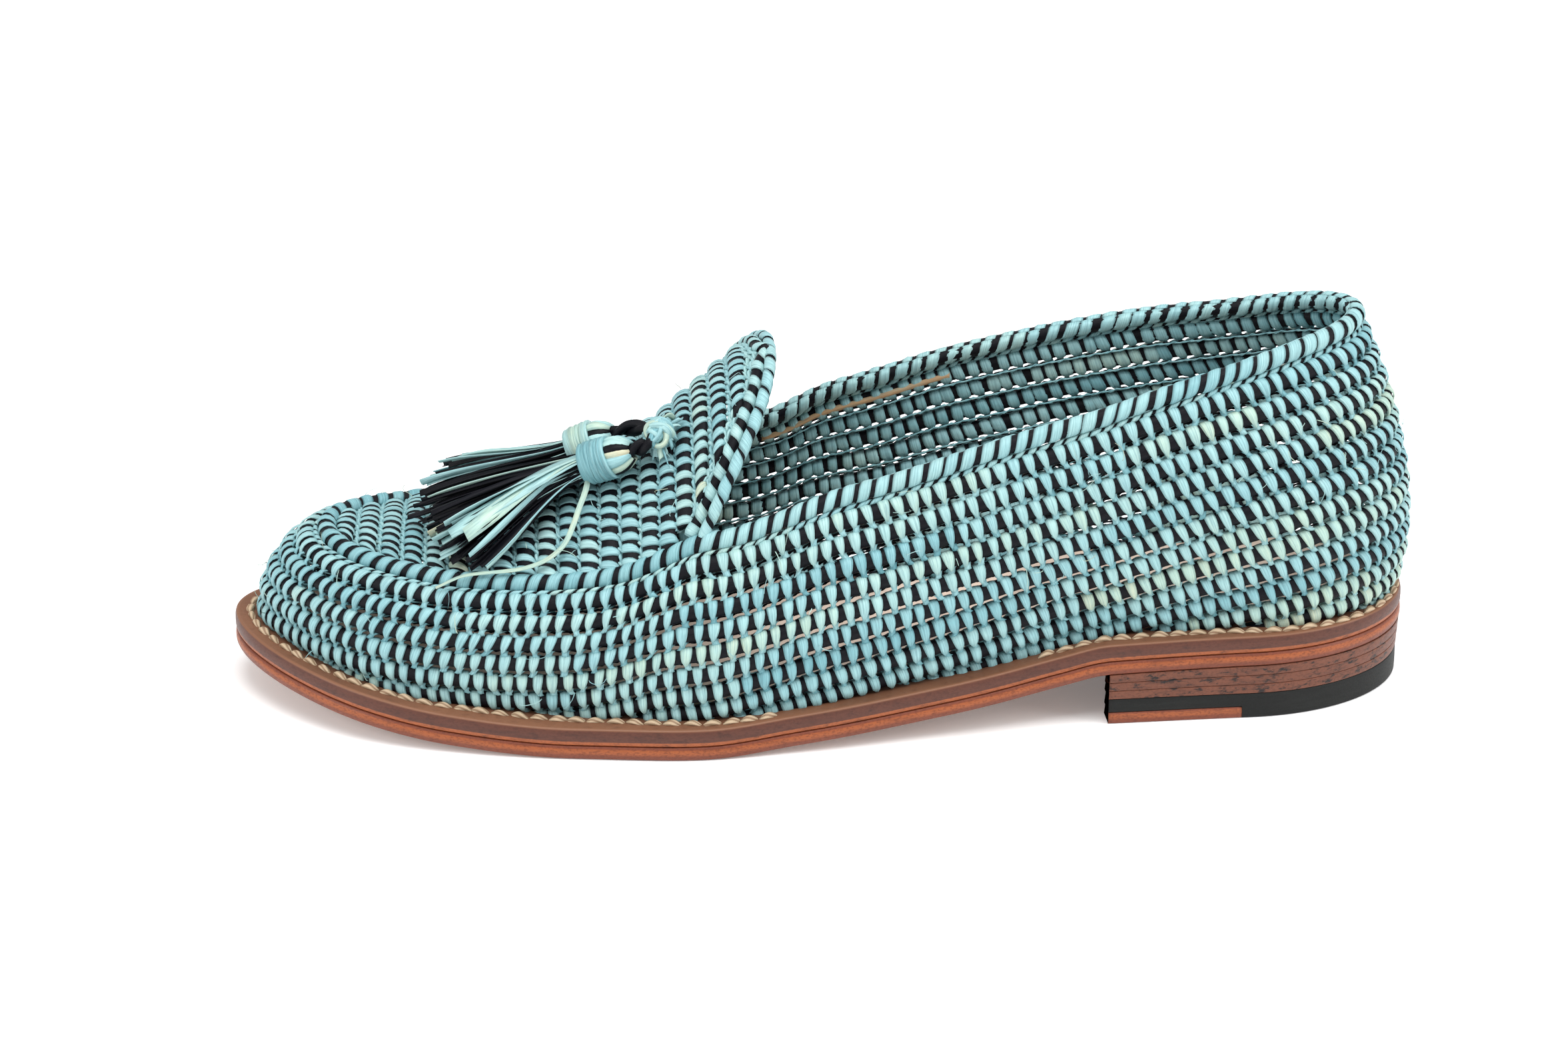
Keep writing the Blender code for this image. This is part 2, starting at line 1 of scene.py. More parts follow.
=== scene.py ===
# %% [markdown]
# # A coiled raffia moccasin
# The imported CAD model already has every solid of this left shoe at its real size: the sole's layers, the
# stacked heel, one hollow wall for the upper, and the tassels. This file gives each of them its looks.
# The upper is rebuilt as what it really is, ropes of black raffia wrapped in turquoise strips, so that light
# falls through the small gaps. Everything is in metres, and the toe points along -X.

# %% Loading the frame
import math

import bpy
import numpy as np
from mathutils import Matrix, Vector


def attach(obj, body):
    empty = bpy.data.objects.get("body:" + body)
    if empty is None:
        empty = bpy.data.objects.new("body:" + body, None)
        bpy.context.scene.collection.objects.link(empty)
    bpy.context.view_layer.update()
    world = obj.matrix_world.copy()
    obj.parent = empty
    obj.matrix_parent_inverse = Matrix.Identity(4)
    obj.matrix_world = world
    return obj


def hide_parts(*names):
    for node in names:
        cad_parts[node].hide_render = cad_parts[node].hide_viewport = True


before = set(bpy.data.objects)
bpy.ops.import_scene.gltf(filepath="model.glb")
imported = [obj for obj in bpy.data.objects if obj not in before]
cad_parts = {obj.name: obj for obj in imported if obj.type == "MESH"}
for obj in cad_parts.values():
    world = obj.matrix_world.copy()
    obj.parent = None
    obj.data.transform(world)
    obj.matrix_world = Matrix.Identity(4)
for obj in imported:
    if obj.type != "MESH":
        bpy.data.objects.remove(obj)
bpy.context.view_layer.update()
rng = np.random.default_rng(11)

# %% [markdown]
# ## Sizes
# The looks have to sit on the same surfaces as the solids, so the sizes and short tables of the construction
# are repeated here. "along" is the distance from the sole's toe tip towards the heel, and "across" runs from
# the long axis towards the inner side of the foot.

# %% Sizes and tables
SOLE_LENGTH, HEEL_BREAST = 0.268, 0.1978
OUTSOLE_THICK, MIDSOLE_THICK, INSOLE_THICK, SEAT_GAP = 0.0031, 0.0040, 0.0022, 0.0003
TOP_LIFT, TIP_THICK, TIP_LENGTH, LIFT_COUNT, HEEL_TAPER = 0.0060, 0.0027, 0.0305, 3, 0.0005
BREAST_SKEW = 0.0080
ROW_PITCH, ROW_COUNT, ROW_THICK, RIM_THICK = 0.0053, 14, 0.0042, 0.0048
THROAT, TONGUE_TIP = 0.1060, 0.1228
ORIGIN_ALONG, ORIGIN_ACROSS = 0.1347, -0.0012


def columns(names, rows):
    """A short table as a dictionary of its named columns."""
    return dict(zip(names.split(), np.array(rows, float).T))


SOLE_PLAN = columns("along centre lateral medial", (
    (0.000, 0.0070, 0.0370, 0.0320), (0.015, 0.0066, 0.0413, 0.0345), (0.030, 0.0060, 0.0438, 0.0362),
    (0.050, 0.0050, 0.0444, 0.0378), (0.075, 0.0030, 0.0459, 0.0395), (0.098, 0.0010, 0.0460, 0.0410),
    (0.130, -0.0005, 0.0415, 0.0365), (0.160, -0.0012, 0.0353, 0.0290), (0.198, 0.0005, 0.0307, 0.0280),
    (0.235, 0.0025, 0.0305, 0.0292), (0.268, 0.0030, 0.0298, 0.0298)))
SOLE_ROUNDS = (0.062, 0.038)
SOLE_BOTTOM = columns("along height", (
    (0.000, 0.0090), (0.025, 0.0050), (0.050, 0.0016), (0.078, 0.0000), (0.106, 0.0000), (0.127, 0.0019),
    (0.142, 0.0034), (0.157, 0.0052), (0.172, 0.0074), (0.187, 0.0102), (0.198, 0.0122), (0.268, 0.0133)))
WELT_MARGIN = columns("along width", (
    (0.000, 0.0070), (0.040, 0.0077), (0.060, 0.0083), (0.098, 0.0072), (0.127, 0.0058), (0.158, 0.0066),
    (0.212, 0.0070), (0.235, 0.0060), (0.268, 0.0033)))
RIM_PLAN = columns("along centre lateral medial lateral_height medial_height", (
    (0.0217, 0.0060, 0.0260, 0.0200, 0.0368, 0.0368), (0.0385, 0.0050, 0.0265, 0.0195, 0.0360, 0.0360),
    (0.0530, 0.0040, 0.0285, 0.0225, 0.0356, 0.0366), (0.0690, 0.0030, 0.0312, 0.0260, 0.0363, 0.0382),
    (0.0840, 0.0020, 0.0325, 0.0290, 0.0382, 0.0407), (0.0910, 0.0015, 0.0328, 0.0300, 0.0402, 0.0425),
    (0.0980, 0.0010, 0.0332, 0.0308, 0.0435, 0.0450), (0.1060, 0.0005, 0.0330, 0.0313, 0.0472, 0.0475),
    (0.1140, 0.0000, 0.0325, 0.0314, 0.0488, 0.0488), (0.1250, 0.0000, 0.0315, 0.0310, 0.0524, 0.0520),
    (0.1360, 0.0000, 0.0308, 0.0300, 0.0566, 0.0578), (0.1470, 0.0000, 0.0300, 0.0290, 0.0594, 0.0616),
    (0.1640, 0.0000, 0.0285, 0.0275, 0.0643, 0.0675), (0.1780, 0.0000, 0.0270, 0.0260, 0.0683, 0.0714),
    (0.1920, 0.0000, 0.0255, 0.0247, 0.0718, 0.0748), (0.2070, 0.0005, 0.0248, 0.0238, 0.0765, 0.0775),
    (0.2310, 0.0012, 0.0240, 0.0234, 0.0828, 0.0810), (0.2422, 0.0014, 0.0238, 0.0232, 0.0853, 0.0837),
    (0.2545, 0.0015, 0.0235, 0.0230, 0.0870, 0.0870)))
RIM_ROUNDS = (0.034, 0.052)
WALL_HANDLES = columns("along rim_out rim_drop feather_out feather_rise", (
    (0.000, 0.0085, 0.0020, 0.0012, 0.0090), (0.060, 0.0090, 0.0050, 0.0045, 0.0120),
    (0.110, 0.0070, 0.0110, 0.0060, 0.0150), (0.160, 0.0055, 0.0160, 0.0075, 0.0170),
    (0.210, 0.0060, 0.0190, 0.0070, 0.0180), (0.268, 0.0090, 0.0200, 0.0075, 0.0180)))
APRON_RIDGE = columns("along height", (
    (0.0217, 0.0368), (0.0300, 0.0372), (0.0400, 0.0380), (0.0500, 0.0397), (0.0600, 0.0427),
    (0.0750, 0.0486), (0.0860, 0.0545), (0.0970, 0.0615), (0.1024, 0.0668), (0.1084, 0.0722),
    (0.1145, 0.0766), (0.1190, 0.0789), (0.1228, 0.0805)))
TONGUE_EDGE = columns("along lateral medial lateral_height medial_height", (
    (0.1060, 0.0330, 0.0313, 0.0472, 0.0475), (0.1096, 0.0312, 0.0302, 0.0552, 0.0560),
    (0.1128, 0.0285, 0.0282, 0.0614, 0.0630), (0.1160, 0.0246, 0.0250, 0.0668, 0.0694),
    (0.1192, 0.0190, 0.0202, 0.0724, 0.0750), (0.1217, 0.0115, 0.0124, 0.0775, 0.0788),
    (0.1228, 0.0035, 0.0035, 0.0803, 0.0804)))
print("tables:", len(SOLE_PLAN["along"]), "sole stations,", len(RIM_PLAN["along"]), "rim stations")

# %% [markdown]
# ## The shoe's own curves
# A cubic through a table's rows that never overshoots keeps flat stretches flat. The sole and the rim are
# closed plan curves followed by one number, "turn": 0 is the toe, 1 the heel by the outer side, and 2 the
# toe again.

# %% Curves of the sole and the rim
def smooth(at, knots, values):
    """A monotone cubic: Hermite pieces whose slope at a knot is the harmonic mean of its neighbours'."""
    at = np.clip(np.asarray(at, float), knots[0], knots[-1])
    steps = np.diff(knots)
    slopes = np.diff(values) / steps
    tangents = np.append(slopes, slopes[-1])
    before, after = slopes[:-1], slopes[1:]
    agree = before * after > 0
    weights = (2 * steps[1:] + steps[:-1], steps[1:] + 2 * steps[:-1])
    parts = weights[0] / np.where(agree, before, 1) + weights[1] / np.where(agree, after, 1)
    tangents[1:-1] = np.where(agree, (weights[0] + weights[1]) / np.where(agree, parts, 1), 0)
    cell = np.clip(np.searchsorted(knots, at, side="right") - 1, 0, len(steps) - 1)
    step = steps[cell]
    share = (at - knots[cell]) / step
    back = 1 - share
    return (values[cell] * (1 + 2 * share) * back**2 + values[cell + 1] * (3 - 2 * share) * share**2
            + tangents[cell] * step * share * back**2 - tangents[cell + 1] * step * share**2 * back)


def read(table, column, at):
    """A table's column at any place along its first column."""
    return smooth(at, next(iter(table.values())), table[column])


def unit(vectors):
    """Vectors scaled to a length of 1."""
    return vectors / np.linalg.norm(vectors, axis=-1, keepdims=True)


def round_end(distance, length):
    """The share of full width near an end that is half an ellipse: sqrt(1 - (1 - d / length)^2)."""
    return np.sqrt(1 - (1 - np.clip(distance / length, 0, 1)) ** 2)


def outline(plan, rounds, turn):
    """Along goes as (1 - cos(pi turn)) / 2, and across is the centre less or plus the side's half width."""
    first, last = plan["along"][0], plan["along"][-1]
    along = first + (last - first) * (1 - np.cos(math.pi * turn)) / 2
    outer = np.mod(turn, 2) <= 1
    half = np.where(outer, read(plan, "lateral", along), read(plan, "medial", along))
    half = half * round_end(along - first, rounds[0]) * round_end(last - along, rounds[1])
    return np.stack([along, read(plan, "centre", along) + np.where(outer, -half, half)], -1)


def outward(plan, rounds, turn):
    """The plan curve's unit normal: its direction of travel turned a quarter circle away from the axis."""
    run = outline(plan, rounds, turn + 1e-3) - outline(plan, rounds, turn - 1e-3)
    return unit(np.stack([run[..., 1], -run[..., 0]], -1))


def sole_edge(turn, inset):
    """The sole's outline, moved in along its normal."""
    edge, normal = outline(SOLE_PLAN, SOLE_ROUNDS, turn), outward(SOLE_PLAN, SOLE_ROUNDS, turn)
    return edge - normal * np.expand_dims(inset, -1)


def bottom_height(along):
    """The height of the outsole's underside above the floor."""
    return read(SOLE_BOTTOM, "height", along)


def welt_height(along):
    """The height of the welt layer's top, on which the upper stands."""
    return bottom_height(along) + OUTSOLE_THICK + SEAT_GAP + MIDSOLE_THICK


def placed(points):
    """Along, across and height as points of the CAD frame."""
    return points - np.array([ORIGIN_ALONG, ORIGIN_ACROSS, 0.0])


def rim_line(turn):
    """The rim over its plan curve, its height blended from the outer side's table to the inner side's."""
    plan = outline(RIM_PLAN, RIM_ROUNDS, turn)
    along = plan[..., 0]
    side = plan[..., 1] - read(RIM_PLAN, "centre", along)
    reach = np.where(side < 0, read(RIM_PLAN, "lateral", along), read(RIM_PLAN, "medial", along))
    share = (np.clip(side / reach, -1, 1) + 1) / 2
    low, high = read(RIM_PLAN, "lateral_height", along), read(RIM_PLAN, "medial_height", along)
    return np.concatenate([plan, (low + (high - low) * share)[..., None]], -1)


print("rim at the heel, mm:", np.round(placed(rim_line(np.array([1.0]))) * 1000, 1).tolist())

# %% [markdown]
# ## The wall as a lattice
# Every profile of the wall is a Bezier curve from the rim down to the welt. The rows of raffia lie at equal
# depths below the rim, measured along that curve. So the wall is worked out once, as a lattice of turn by
# depth, and any place on it is read from the lattice's four nearest points.

# %% The wall lattice
TURNS = np.linspace(0, 2, 1601)
DEPTHS = np.arange(-0.002, 0.0801, 0.0004)
PROFILE_STEPS = 64
UP = np.array([0.0, 0.0, 1.0])


def bezier(corners, count):
    """Cubic curves (curves, count, 3): (1-s)^3 A + 3 (1-s)^2 s B + 3 (1-s) s^2 C + s^3 D."""
    s = np.linspace(0, 1, count)[None, :, None]
    weights = ((1 - s) ** 3, 3 * (1 - s) ** 2 * s, 3 * (1 - s) * s**2, s**3)
    return sum(corner[:, None] * weight for corner, weight in zip(corners, weights))


def wall_lattice():
    """Points at every turn and depth, and each turn's depth at the welt.

    A profile leaves the rim outward and down, and comes to the welt from outside and above. Its running
    length gives the depth.
    """
    sole_along = outline(SOLE_PLAN, SOLE_ROUNDS, TURNS)[:, 0]
    foot = sole_edge(TURNS, read(WELT_MARGIN, "width", sole_along))
    feather = np.concatenate([foot, welt_height(foot[:, :1])], -1)
    rim = rim_line(TURNS)
    out = np.concatenate([outward(SOLE_PLAN, SOLE_ROUNDS, TURNS), np.zeros((len(TURNS), 1))], -1)
    handle = {name: read(WALL_HANDLES, name, sole_along)[:, None] for name in WALL_HANDLES}
    corners = (rim, rim + out * handle["rim_out"] - UP * handle["rim_drop"],
               feather + out * handle["feather_out"] + UP * handle["feather_rise"], feather)
    curve = bezier(corners, PROFILE_STEPS + 1)
    gaps = np.linalg.norm(np.diff(curve, axis=1), axis=-1)
    length = np.concatenate([np.zeros((len(TURNS), 1)), np.cumsum(gaps, axis=1)], 1)
    cell = np.clip((length[:, None, :] <= DEPTHS[None, :, None]).sum(-1) - 1, 0, PROFILE_STEPS - 1)
    row = np.arange(len(TURNS))[:, None]
    part = ((DEPTHS - length[row, cell]) / gaps[row, cell])[..., None]
    return placed(curve[row, cell] * (1 - part) + curve[row, cell + 1] * part), length[:, -1]


WALL, WELT_DEPTH = wall_lattice()
ALONG = np.roll(WALL[:-1], -1, 0) - np.roll(WALL[:-1], 1, 0)
ALONG = unit(np.concatenate([ALONG, ALONG[:1]]))
DOWN = unit(np.gradient(WALL, axis=1))
OUT = unit(np.cross(DOWN, ALONG))


def on_wall(turn, depth):
    """The point there and the directions down the wall and out of it: bilinear between lattice points."""
    a = np.mod(turn, 2) / 2 * (len(TURNS) - 1)
    b = (depth - DEPTHS[0]) / (DEPTHS[1] - DEPTHS[0])
    i, j = np.minimum(a.astype(int), len(TURNS) - 2), np.clip(b.astype(int), 0, len(DEPTHS) - 2)
    s, t = (a - i)[..., None], (b - j)[..., None]
    grids = (WALL, DOWN, OUT)
    above = [grid[i, j] * (1 - s) + grid[i + 1, j] * s for grid in grids]
    below = [grid[i, j + 1] * (1 - s) + grid[i + 1, j + 1] * s for grid in grids]
    return [high * (1 - t) + low * t for high, low in zip(above, below)]


wall_heights = np.array([WELT_DEPTH.min(), WELT_DEPTH.max()])
print("wall height in mm, least and most:", np.round(wall_heights * 1000, 1).tolist())

# %% [markdown]
# ## The apron and tongue
# The apron is the raised plug over the toes, and its end stands up as the tongue. It is a ruled surface
# between its two edges with a crown added, and "share" runs across it from -1 at the outer edge to 1 at the
# inner.

# %% The apron surface
def apron_edges(along):
    """The two ends of a cross row: on the seam before the throat, on the tongue's free edge behind it."""
    first, last = RIM_PLAN["along"][0], RIM_PLAN["along"][-1]
    turn = np.arccos(np.clip(1 - 2 * (along - first) / (last - first), -1, 1)) / math.pi
    ends = []
    for sign, side, seam in ((-1, "lateral", rim_line(turn)), (1, "medial", rim_line(2 - turn))):
        across = read(RIM_PLAN, "centre", along) + sign * read(TONGUE_EDGE, side, along)
        free = np.stack([along, across, read(TONGUE_EDGE, side + "_height", along)], -1)
        ends.append(np.where((along > THROAT)[..., None], free, seam))
    return ends


def apron_point(along, share):
    """A straight blend between the edges, raised by crown x (1 - share^2)."""
    along, share = np.broadcast_arrays(np.asarray(along, float), np.asarray(share, float))
    outer, inner = apron_edges(along)
    blend = ((share + 1) / 2)[..., None]
    point = outer * (1 - blend) + inner * blend
    crown = read(APRON_RIDGE, "height", along) - (outer[..., 2] + inner[..., 2]) / 2
    point[..., 2] += crown * (1 - share**2)
    return placed(point)


def on_apron(along, share):
    """The point there, the direction towards the heel and the normal, from differences of the surface."""
    heelward = unit(apron_point(along + 0.0008, share) - apron_point(along - 0.0008, share))
    inward = unit(apron_point(along, share + 0.02) - apron_point(along, share - 0.02))
    return apron_point(along, share), heelward, unit(np.cross(heelward, inward))


def over_apron(along, share, lift):
    """A point this far above the crests of the apron's rows."""
    point, _, normal = on_apron(np.asarray(along, float), np.asarray(share, float))
    return point + normal * (ROW_THICK / 2 + np.asarray(lift, float))[..., None]


print("tongue tip, mm:", np.round(apron_point(TONGUE_TIP, 0.0) * 1000, 1).tolist())

# %% [markdown]
# ## Ropes, tubes and bundles
# Everything in the upper follows a rope: a line with, at every point, the directions along it, down its wall
# and out of it. Tubes of any cross section are carried along such lines as whole arrays of rings. A bundle
# collects thousands of small tubes and turns them into one mesh, with a UV map in metres so that fibres keep
# their scale, and a "dye" value for each strip so that no two strips are quite the same colour.

# %% Rope and bundle
class Rope:
    """A row's line, read by running length: points with unit vectors along, down and out."""

    def __init__(self, point, down, out, closed):
        self.closed = closed
        self.run = np.concatenate([[0], np.cumsum(np.linalg.norm(np.diff(point, axis=0), axis=1))])
        self.length = self.run[-1]
        along = unit(np.gradient(point, self.run, axis=0))
        self.table = np.concatenate([point, along, down, out], 1)

    def steps(self, gap):
        """Running lengths about this far apart, over the whole rope."""
        return np.linspace(0, self.length, max(int(self.length / gap), 8), endpoint=not self.closed)

    def at(self, run):
        """Linear interpolation in the rope's table; a closed rope goes round again."""
        run = np.mod(run, self.length) if self.closed else np.clip(run, 0, self.length)
        cell = np.clip(np.searchsorted(self.run, run) - 1, 0, len(self.run) - 2)
        share = ((run - self.run[cell]) / (self.run[cell + 1] - self.run[cell]))[..., None]
        return np.split(self.table[cell] * (1 - share) + self.table[cell + 1] * share, 4, -1)


class Bundle:
    """Tubes given as rings, (tubes, steps, sides, 3), that become one mesh."""

    def __init__(self):
        self.points, self.faces, self.uvs, self.dyes, self.count = [], [], [], [], 0

    def add(self, rings, dye, reach, girth, loop=False):
        """Quads join ring i to i + 1 and side j to j + 1; open tubes get a cap on each end.

        The UV map runs over reach along the tube and girth round it, in metres, and starts anywhere. A dye
        is one value for all, one for each tube, or one for each tube and step. Rings that turn right-handed
        about their travel would give inward faces, so these are turned over.
        """
        tubes, steps, sides = rings.shape[:3]
        base = self.count + np.arange(tubes * steps * sides).reshape(tubes, steps, sides)
        here = base if loop else base[:, :-1]
        there = np.roll(base, -1, 1) if loop else base[:, 1:]
        quads = np.stack([here, there, np.roll(there, -1, 2), np.roll(here, -1, 2)], -1)
        centre = rings.mean(2)
        spokes = rings - centre[:, :, None]
        turned = np.cross(spokes, np.roll(spokes, -1, 2)).sum(2)
        inside_out = np.sum(turned[:, :-1] * np.diff(centre, axis=1)) > 0
        spans = here.shape[1]
        u = np.linspace(0, 1, spans + 1) * reach
        v = np.linspace(0, 1, sides + 1) * girth
        uv = np.empty(quads.shape + (2,))
        uv[..., 0] = np.stack([u[:-1], u[1:], u[1:], u[:-1]], -1)[None, :, None, :]
        uv[..., 1] = np.stack([v[:-1], v[:-1], v[1:], v[1:]], -1)[None, None, :, :]
        uv += rng.uniform(0, 1, (tubes, 1, 1, 1, 2))
        caps = np.zeros((0, sides), int) if loop else np.concatenate([base[:, 0], base[:, -1, ::-1]])
        quads, uv = quads.reshape(-1, 4), uv.reshape(-1, 4, 2)
        if inside_out:
            quads, uv, caps = quads[:, ::-1], uv[:, ::-1], caps[:, ::-1]
        self.points.append(rings.reshape(-1, 3))
        self.faces += quads.tolist() + caps.tolist()
        self.uvs += [uv.reshape(-1, 2), np.zeros((caps.size, 2))]
        dye = np.asarray(dye, float)
        dye = dye.reshape(dye.shape + (1,) * (3 - dye.ndim))
        self.dyes.append(np.broadcast_to(dye, (tubes, steps, sides)).ravel())
        self.count += tubes * steps * sides

    def piece(self, name, finish, slot, *nodes):
        """The mesh as a finished piece that stands for these CAD nodes."""
        return make_piece(name, np.concatenate(self.points), self.faces, finish, nodes,
                          np.concatenate(self.uvs), {"dye": np.concatenate(self.dyes)})


def make_piece(name, points, faces, finish, nodes, uvs=None, values=None):
    """A smooth mesh at the origin, with its UV map and point values, riding on the shoe."""
    mesh = bpy.data.meshes.new(name)
    mesh.from_pydata(points.tolist(), [], faces)
    if uvs is not None:
        mesh.uv_layers.new(name="strip").data.foreach_set("uv", uvs.ravel())
    for key, value in (values or {}).items():
        mesh.attributes.new(key, "FLOAT", "POINT").data.foreach_set("value", value)
    mesh.shade_smooth()
    mesh.materials.append(finish)
    made = bpy.data.objects.new(name, mesh)
    bpy.context.scene.collection.objects.link(made)
    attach(made, "root")
    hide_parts(*nodes)
    print(name, "has", sum(len(face) - 2 for face in faces), "triangles")
    return made


print("ropes and bundles ready")

# %% [markdown]
# ## Shader expressions
# A material is easier to read as arithmetic than as a list of links. This class wraps a socket, so that a sum
# or product of two values adds a Math node, and one method makes any other node.

# %% Shader maths
class Value:
    """A socket in a node tree that takes part in Python expressions."""

    def __init__(self, tree, socket=None):
        self.tree, self.socket = tree, socket

    def put(self, target, value):
        """Links a value to a socket, or sets the socket to a plain number or colour."""
        if isinstance(value, Value):
            self.tree.links.new(value.socket, target)
        else:
            target.default_value = value

    def node(self, kind, settings=None, values=None, output=0):
        """A node of this kind: its settings first, then the values or links of its sockets."""
        made = self.tree.nodes.new("ShaderNode" + kind)
        for key, value in (settings or {}).items():
            if key == "stops":
                ramp = made.color_ramp
                for place, _ in value[1:-1]:
                    ramp.elements.new(place)
                for stop, (place, colour) in zip(ramp.elements, value):
                    stop.position, stop.color = place, colour
            else:
                setattr(made, key, value)
        for key, value in (values or {}).items():
            self.put(made.inputs[key], value)
        return Value(self.tree, made.outputs[output])

    def math(self, operation, a, b):
        """A Math node on two values."""
        return self.node("Math", {"operation": operation}, {0: a, 1: b})

    def __add__(self, other):
        return self.math("ADD", self, other)

    def __radd__(self, other):
        return self.math("ADD", other, self)

    def __sub__(self, other):
        return self.math("SUBTRACT", self, other)

    def __rsub__(self, other):
        return self.math("SUBTRACT", other, self)

    def __mul__(self, other):
        return self.math("MULTIPLY", self, other)

    def __rmul__(self, other):
        return self.math("MULTIPLY", other, self)

    def step(self, low, high):
        """0 below low, 1 above high and a smooth rise between."""
        return self.node("MapRange", {"interpolation_type": "SMOOTHSTEP"},
                         {"Value": self, "From Min": low, "From Max": high})

    def mix(self, a, b):
        """Colour a where this value is 0 and b where it is 1."""
        return self.node("Mix", {"data_type": "RGBA"}, {0: self, 6: a, 7: b}, 2)

    def stretched(self, *scale):
        """This vector times a scale for each axis."""
        return self.node("VectorMath", {"operation": "MULTIPLY"}, {0: self, 1: scale})

    def noise(self, scale, detail=3.0, rough=0.55):
        """Fractal noise, read at this vector."""
        values = {"Vector": self, "Scale": scale, "Detail": detail, "Roughness": rough}
        return self.node("TexNoise", None, values)

    def bump(self, strength, distance):
        """The surface's normal, tilted as if this value were a height."""
        return self.node("Bump", None, {"Strength": strength, "Distance": distance, "Height": self})


def ink(red, green, blue):
    """An 8-bit screen colour as linear light, with an alpha of 1."""
    shade = np.array([red, green, blue]) / 255
    return (*np.where(shade <= 0.04045, shade / 12.92, ((shade + 0.055) / 1.055) ** 2.4), 1.0)


def new_finish(name):
    """A material, its Principled shader and a Value to start expressions from."""
    made = bpy.data.materials.new(name)
    made.use_nodes = True
    shader = made.node_tree.nodes["Principled BSDF"]
    return made, shader, Value(made.node_tree)


print("shader class ready")

# %% [markdown]
# ## The raffia finish
# Raffia is the skin of a palm leaf: a flat strip with fine fibres along it and a silky shine. The fibres are
# a noise stretched along the strip's UV map, which colours it, roughens it and raises it a little. The dye
# value picks the strip's colour from a ramp, from deep teal through turquoise to mint and undyed cream.

# %% Raffia
FIBRE_SHADE = ink(46, 84, 94)


def raffia(name, stops, roughness, contrast, gloss):
    """The dye, shifted by fibres and blotches, picks a colour from the stops, and deep fibres are shaded."""
    made, shader, v = new_finish(name)
    uv = v.node("UVMap", {"uv_map": "strip"})
    fibre = uv.stretched(110.0, 4200.0, 1.0).noise(1.0, 4.0, 0.65)
    blotch = uv.stretched(160.0, 500.0, 1.0).noise(1.0, 2.0)
    dye = v.node("Attribute", {"attribute_name": "dye"}, output=2)
    place = dye + (fibre - 0.5) * 0.22 + (blotch - 0.5) * 0.16
    colour = v.node("ValToRGB", {"stops": stops}, {"Fac": place})
    deep = 1 - fibre.step(0.30, 0.62)
    v.put(shader.inputs["Base Color"], (contrast * deep).mix(colour, FIBRE_SHADE))
    v.put(shader.inputs["Roughness"], roughness + (0.5 - fibre) * 0.3)
    v.put(shader.inputs["Normal"], fibre.bump(0.55, 0.00022))
    v.put(shader.inputs["Specular IOR Level"], gloss)
    return made


turquoise = raffia("turquoise_raffia", (
    (0.00, ink(80, 136, 146)), (0.28, ink(118, 170, 178)), (0.50, ink(148, 192, 196)),
    (0.68, ink(162, 199, 197)), (0.80, ink(174, 201, 186)), (0.90, ink(192, 196, 170)),
    (1.00, ink(206, 166, 122))), 0.46, 0.42, 0.40)
black = raffia("black_raffia", (
    (0.00, ink(4, 5, 8)), (0.55, ink(11, 12, 18)), (1.00, ink(30, 31, 40))), 0.45, 0.0, 0.14)
print("finishes:", turquoise.name, black.name)

# %% [markdown]
# ## Coil rows
# A row is a rope of black strips, wrapped by one turquoise strip that goes over the rope, is pulled tight
# between the rows and comes up behind. So a wall stitch is broad and bulging at the top of its row and
# pinched at the bottom, and it leans because the strip travels along the rope. The apron's crescents, the
# close binding of the rims and the tongue's bands are wound alike, but lean the other way. The shape of one
# wrap is a short table, and all the wraps of a row are worked out together, each a little irregular.

# %% One wrap and its table
STITCH = columns("way lean width bulge", (
    (0.00, -0.24, 0.350, 0.60), (0.07, -0.20, 0.380, 0.85), (0.17, -0.12, 0.375, 1.00),
    (0.28, -0.01, 0.330, 1.05), (0.36, 0.07, 0.270, 1.10), (0.42, 0.14, 0.200, 1.15),
    (0.47, 0.20, 0.130, 1.30), (0.52, 0.26, 0.090, 1.40), (0.58, 0.31, 0.190, 1.10),
    (0.66, 0.39, 0.360, 1.00), (0.78, 0.52, 0.410, 1.00), (0.90, 0.67, 0.400, 0.95),
    (1.00, 0.76, 0.380, 0.60)))
CRESCENT = columns("way lean width bulge", (
    (0.00, 0.20, 0.150, 0.40), (0.08, 0.19, 0.260, 0.70), (0.17, 0.13, 0.330, 0.90),
    (0.27, 0.05, 0.345, 1.00), (0.37, -0.06, 0.320, 0.95), (0.46, -0.19, 0.250, 0.80),
    (0.54, -0.31, 0.170, 0.70), (0.64, -0.42, 0.220, 0.80), (0.78, -0.56, 0.320, 0.95),
    (1.00, -0.80, 0.160, 0.40)))
BINDING = columns("way lean width bulge", (
    (0.00, 0.24, 0.37, 0.60), (0.25, 0.04, 0.38, 0.85), (0.50, -0.16, 0.36, 0.75), (0.75, -0.36, 0.37, 0.80),
    (1.00, -0.56, 0.37, 0.60)))
BAND = columns("way lean width bulge", (
    (0.00, 0.20, 0.27, 0.60), (0.25, 0.00, 0.31, 0.90), (0.50, -0.20, 0.28, 0.75), (0.75, -0.40, 0.30, 0.80),
    (1.00, -0.60, 0.27, 0.60)))
WAYS = np.array([0.0, 0.06, 0.13, 0.20, 0.28, 0.35, 0.42, 0.48, 0.54, 0.64, 0.76, 0.89, 1.0])
ACROSS = np.array([-1.0, -0.52, 0.04, 0.56, 1.0])
SWELL = np.array([0.38, 0.88, 1.00, 0.88, 0.38])
WRAP_SEAT, WRAP_STRIP = 0.00006, (0.014, 0.0026)


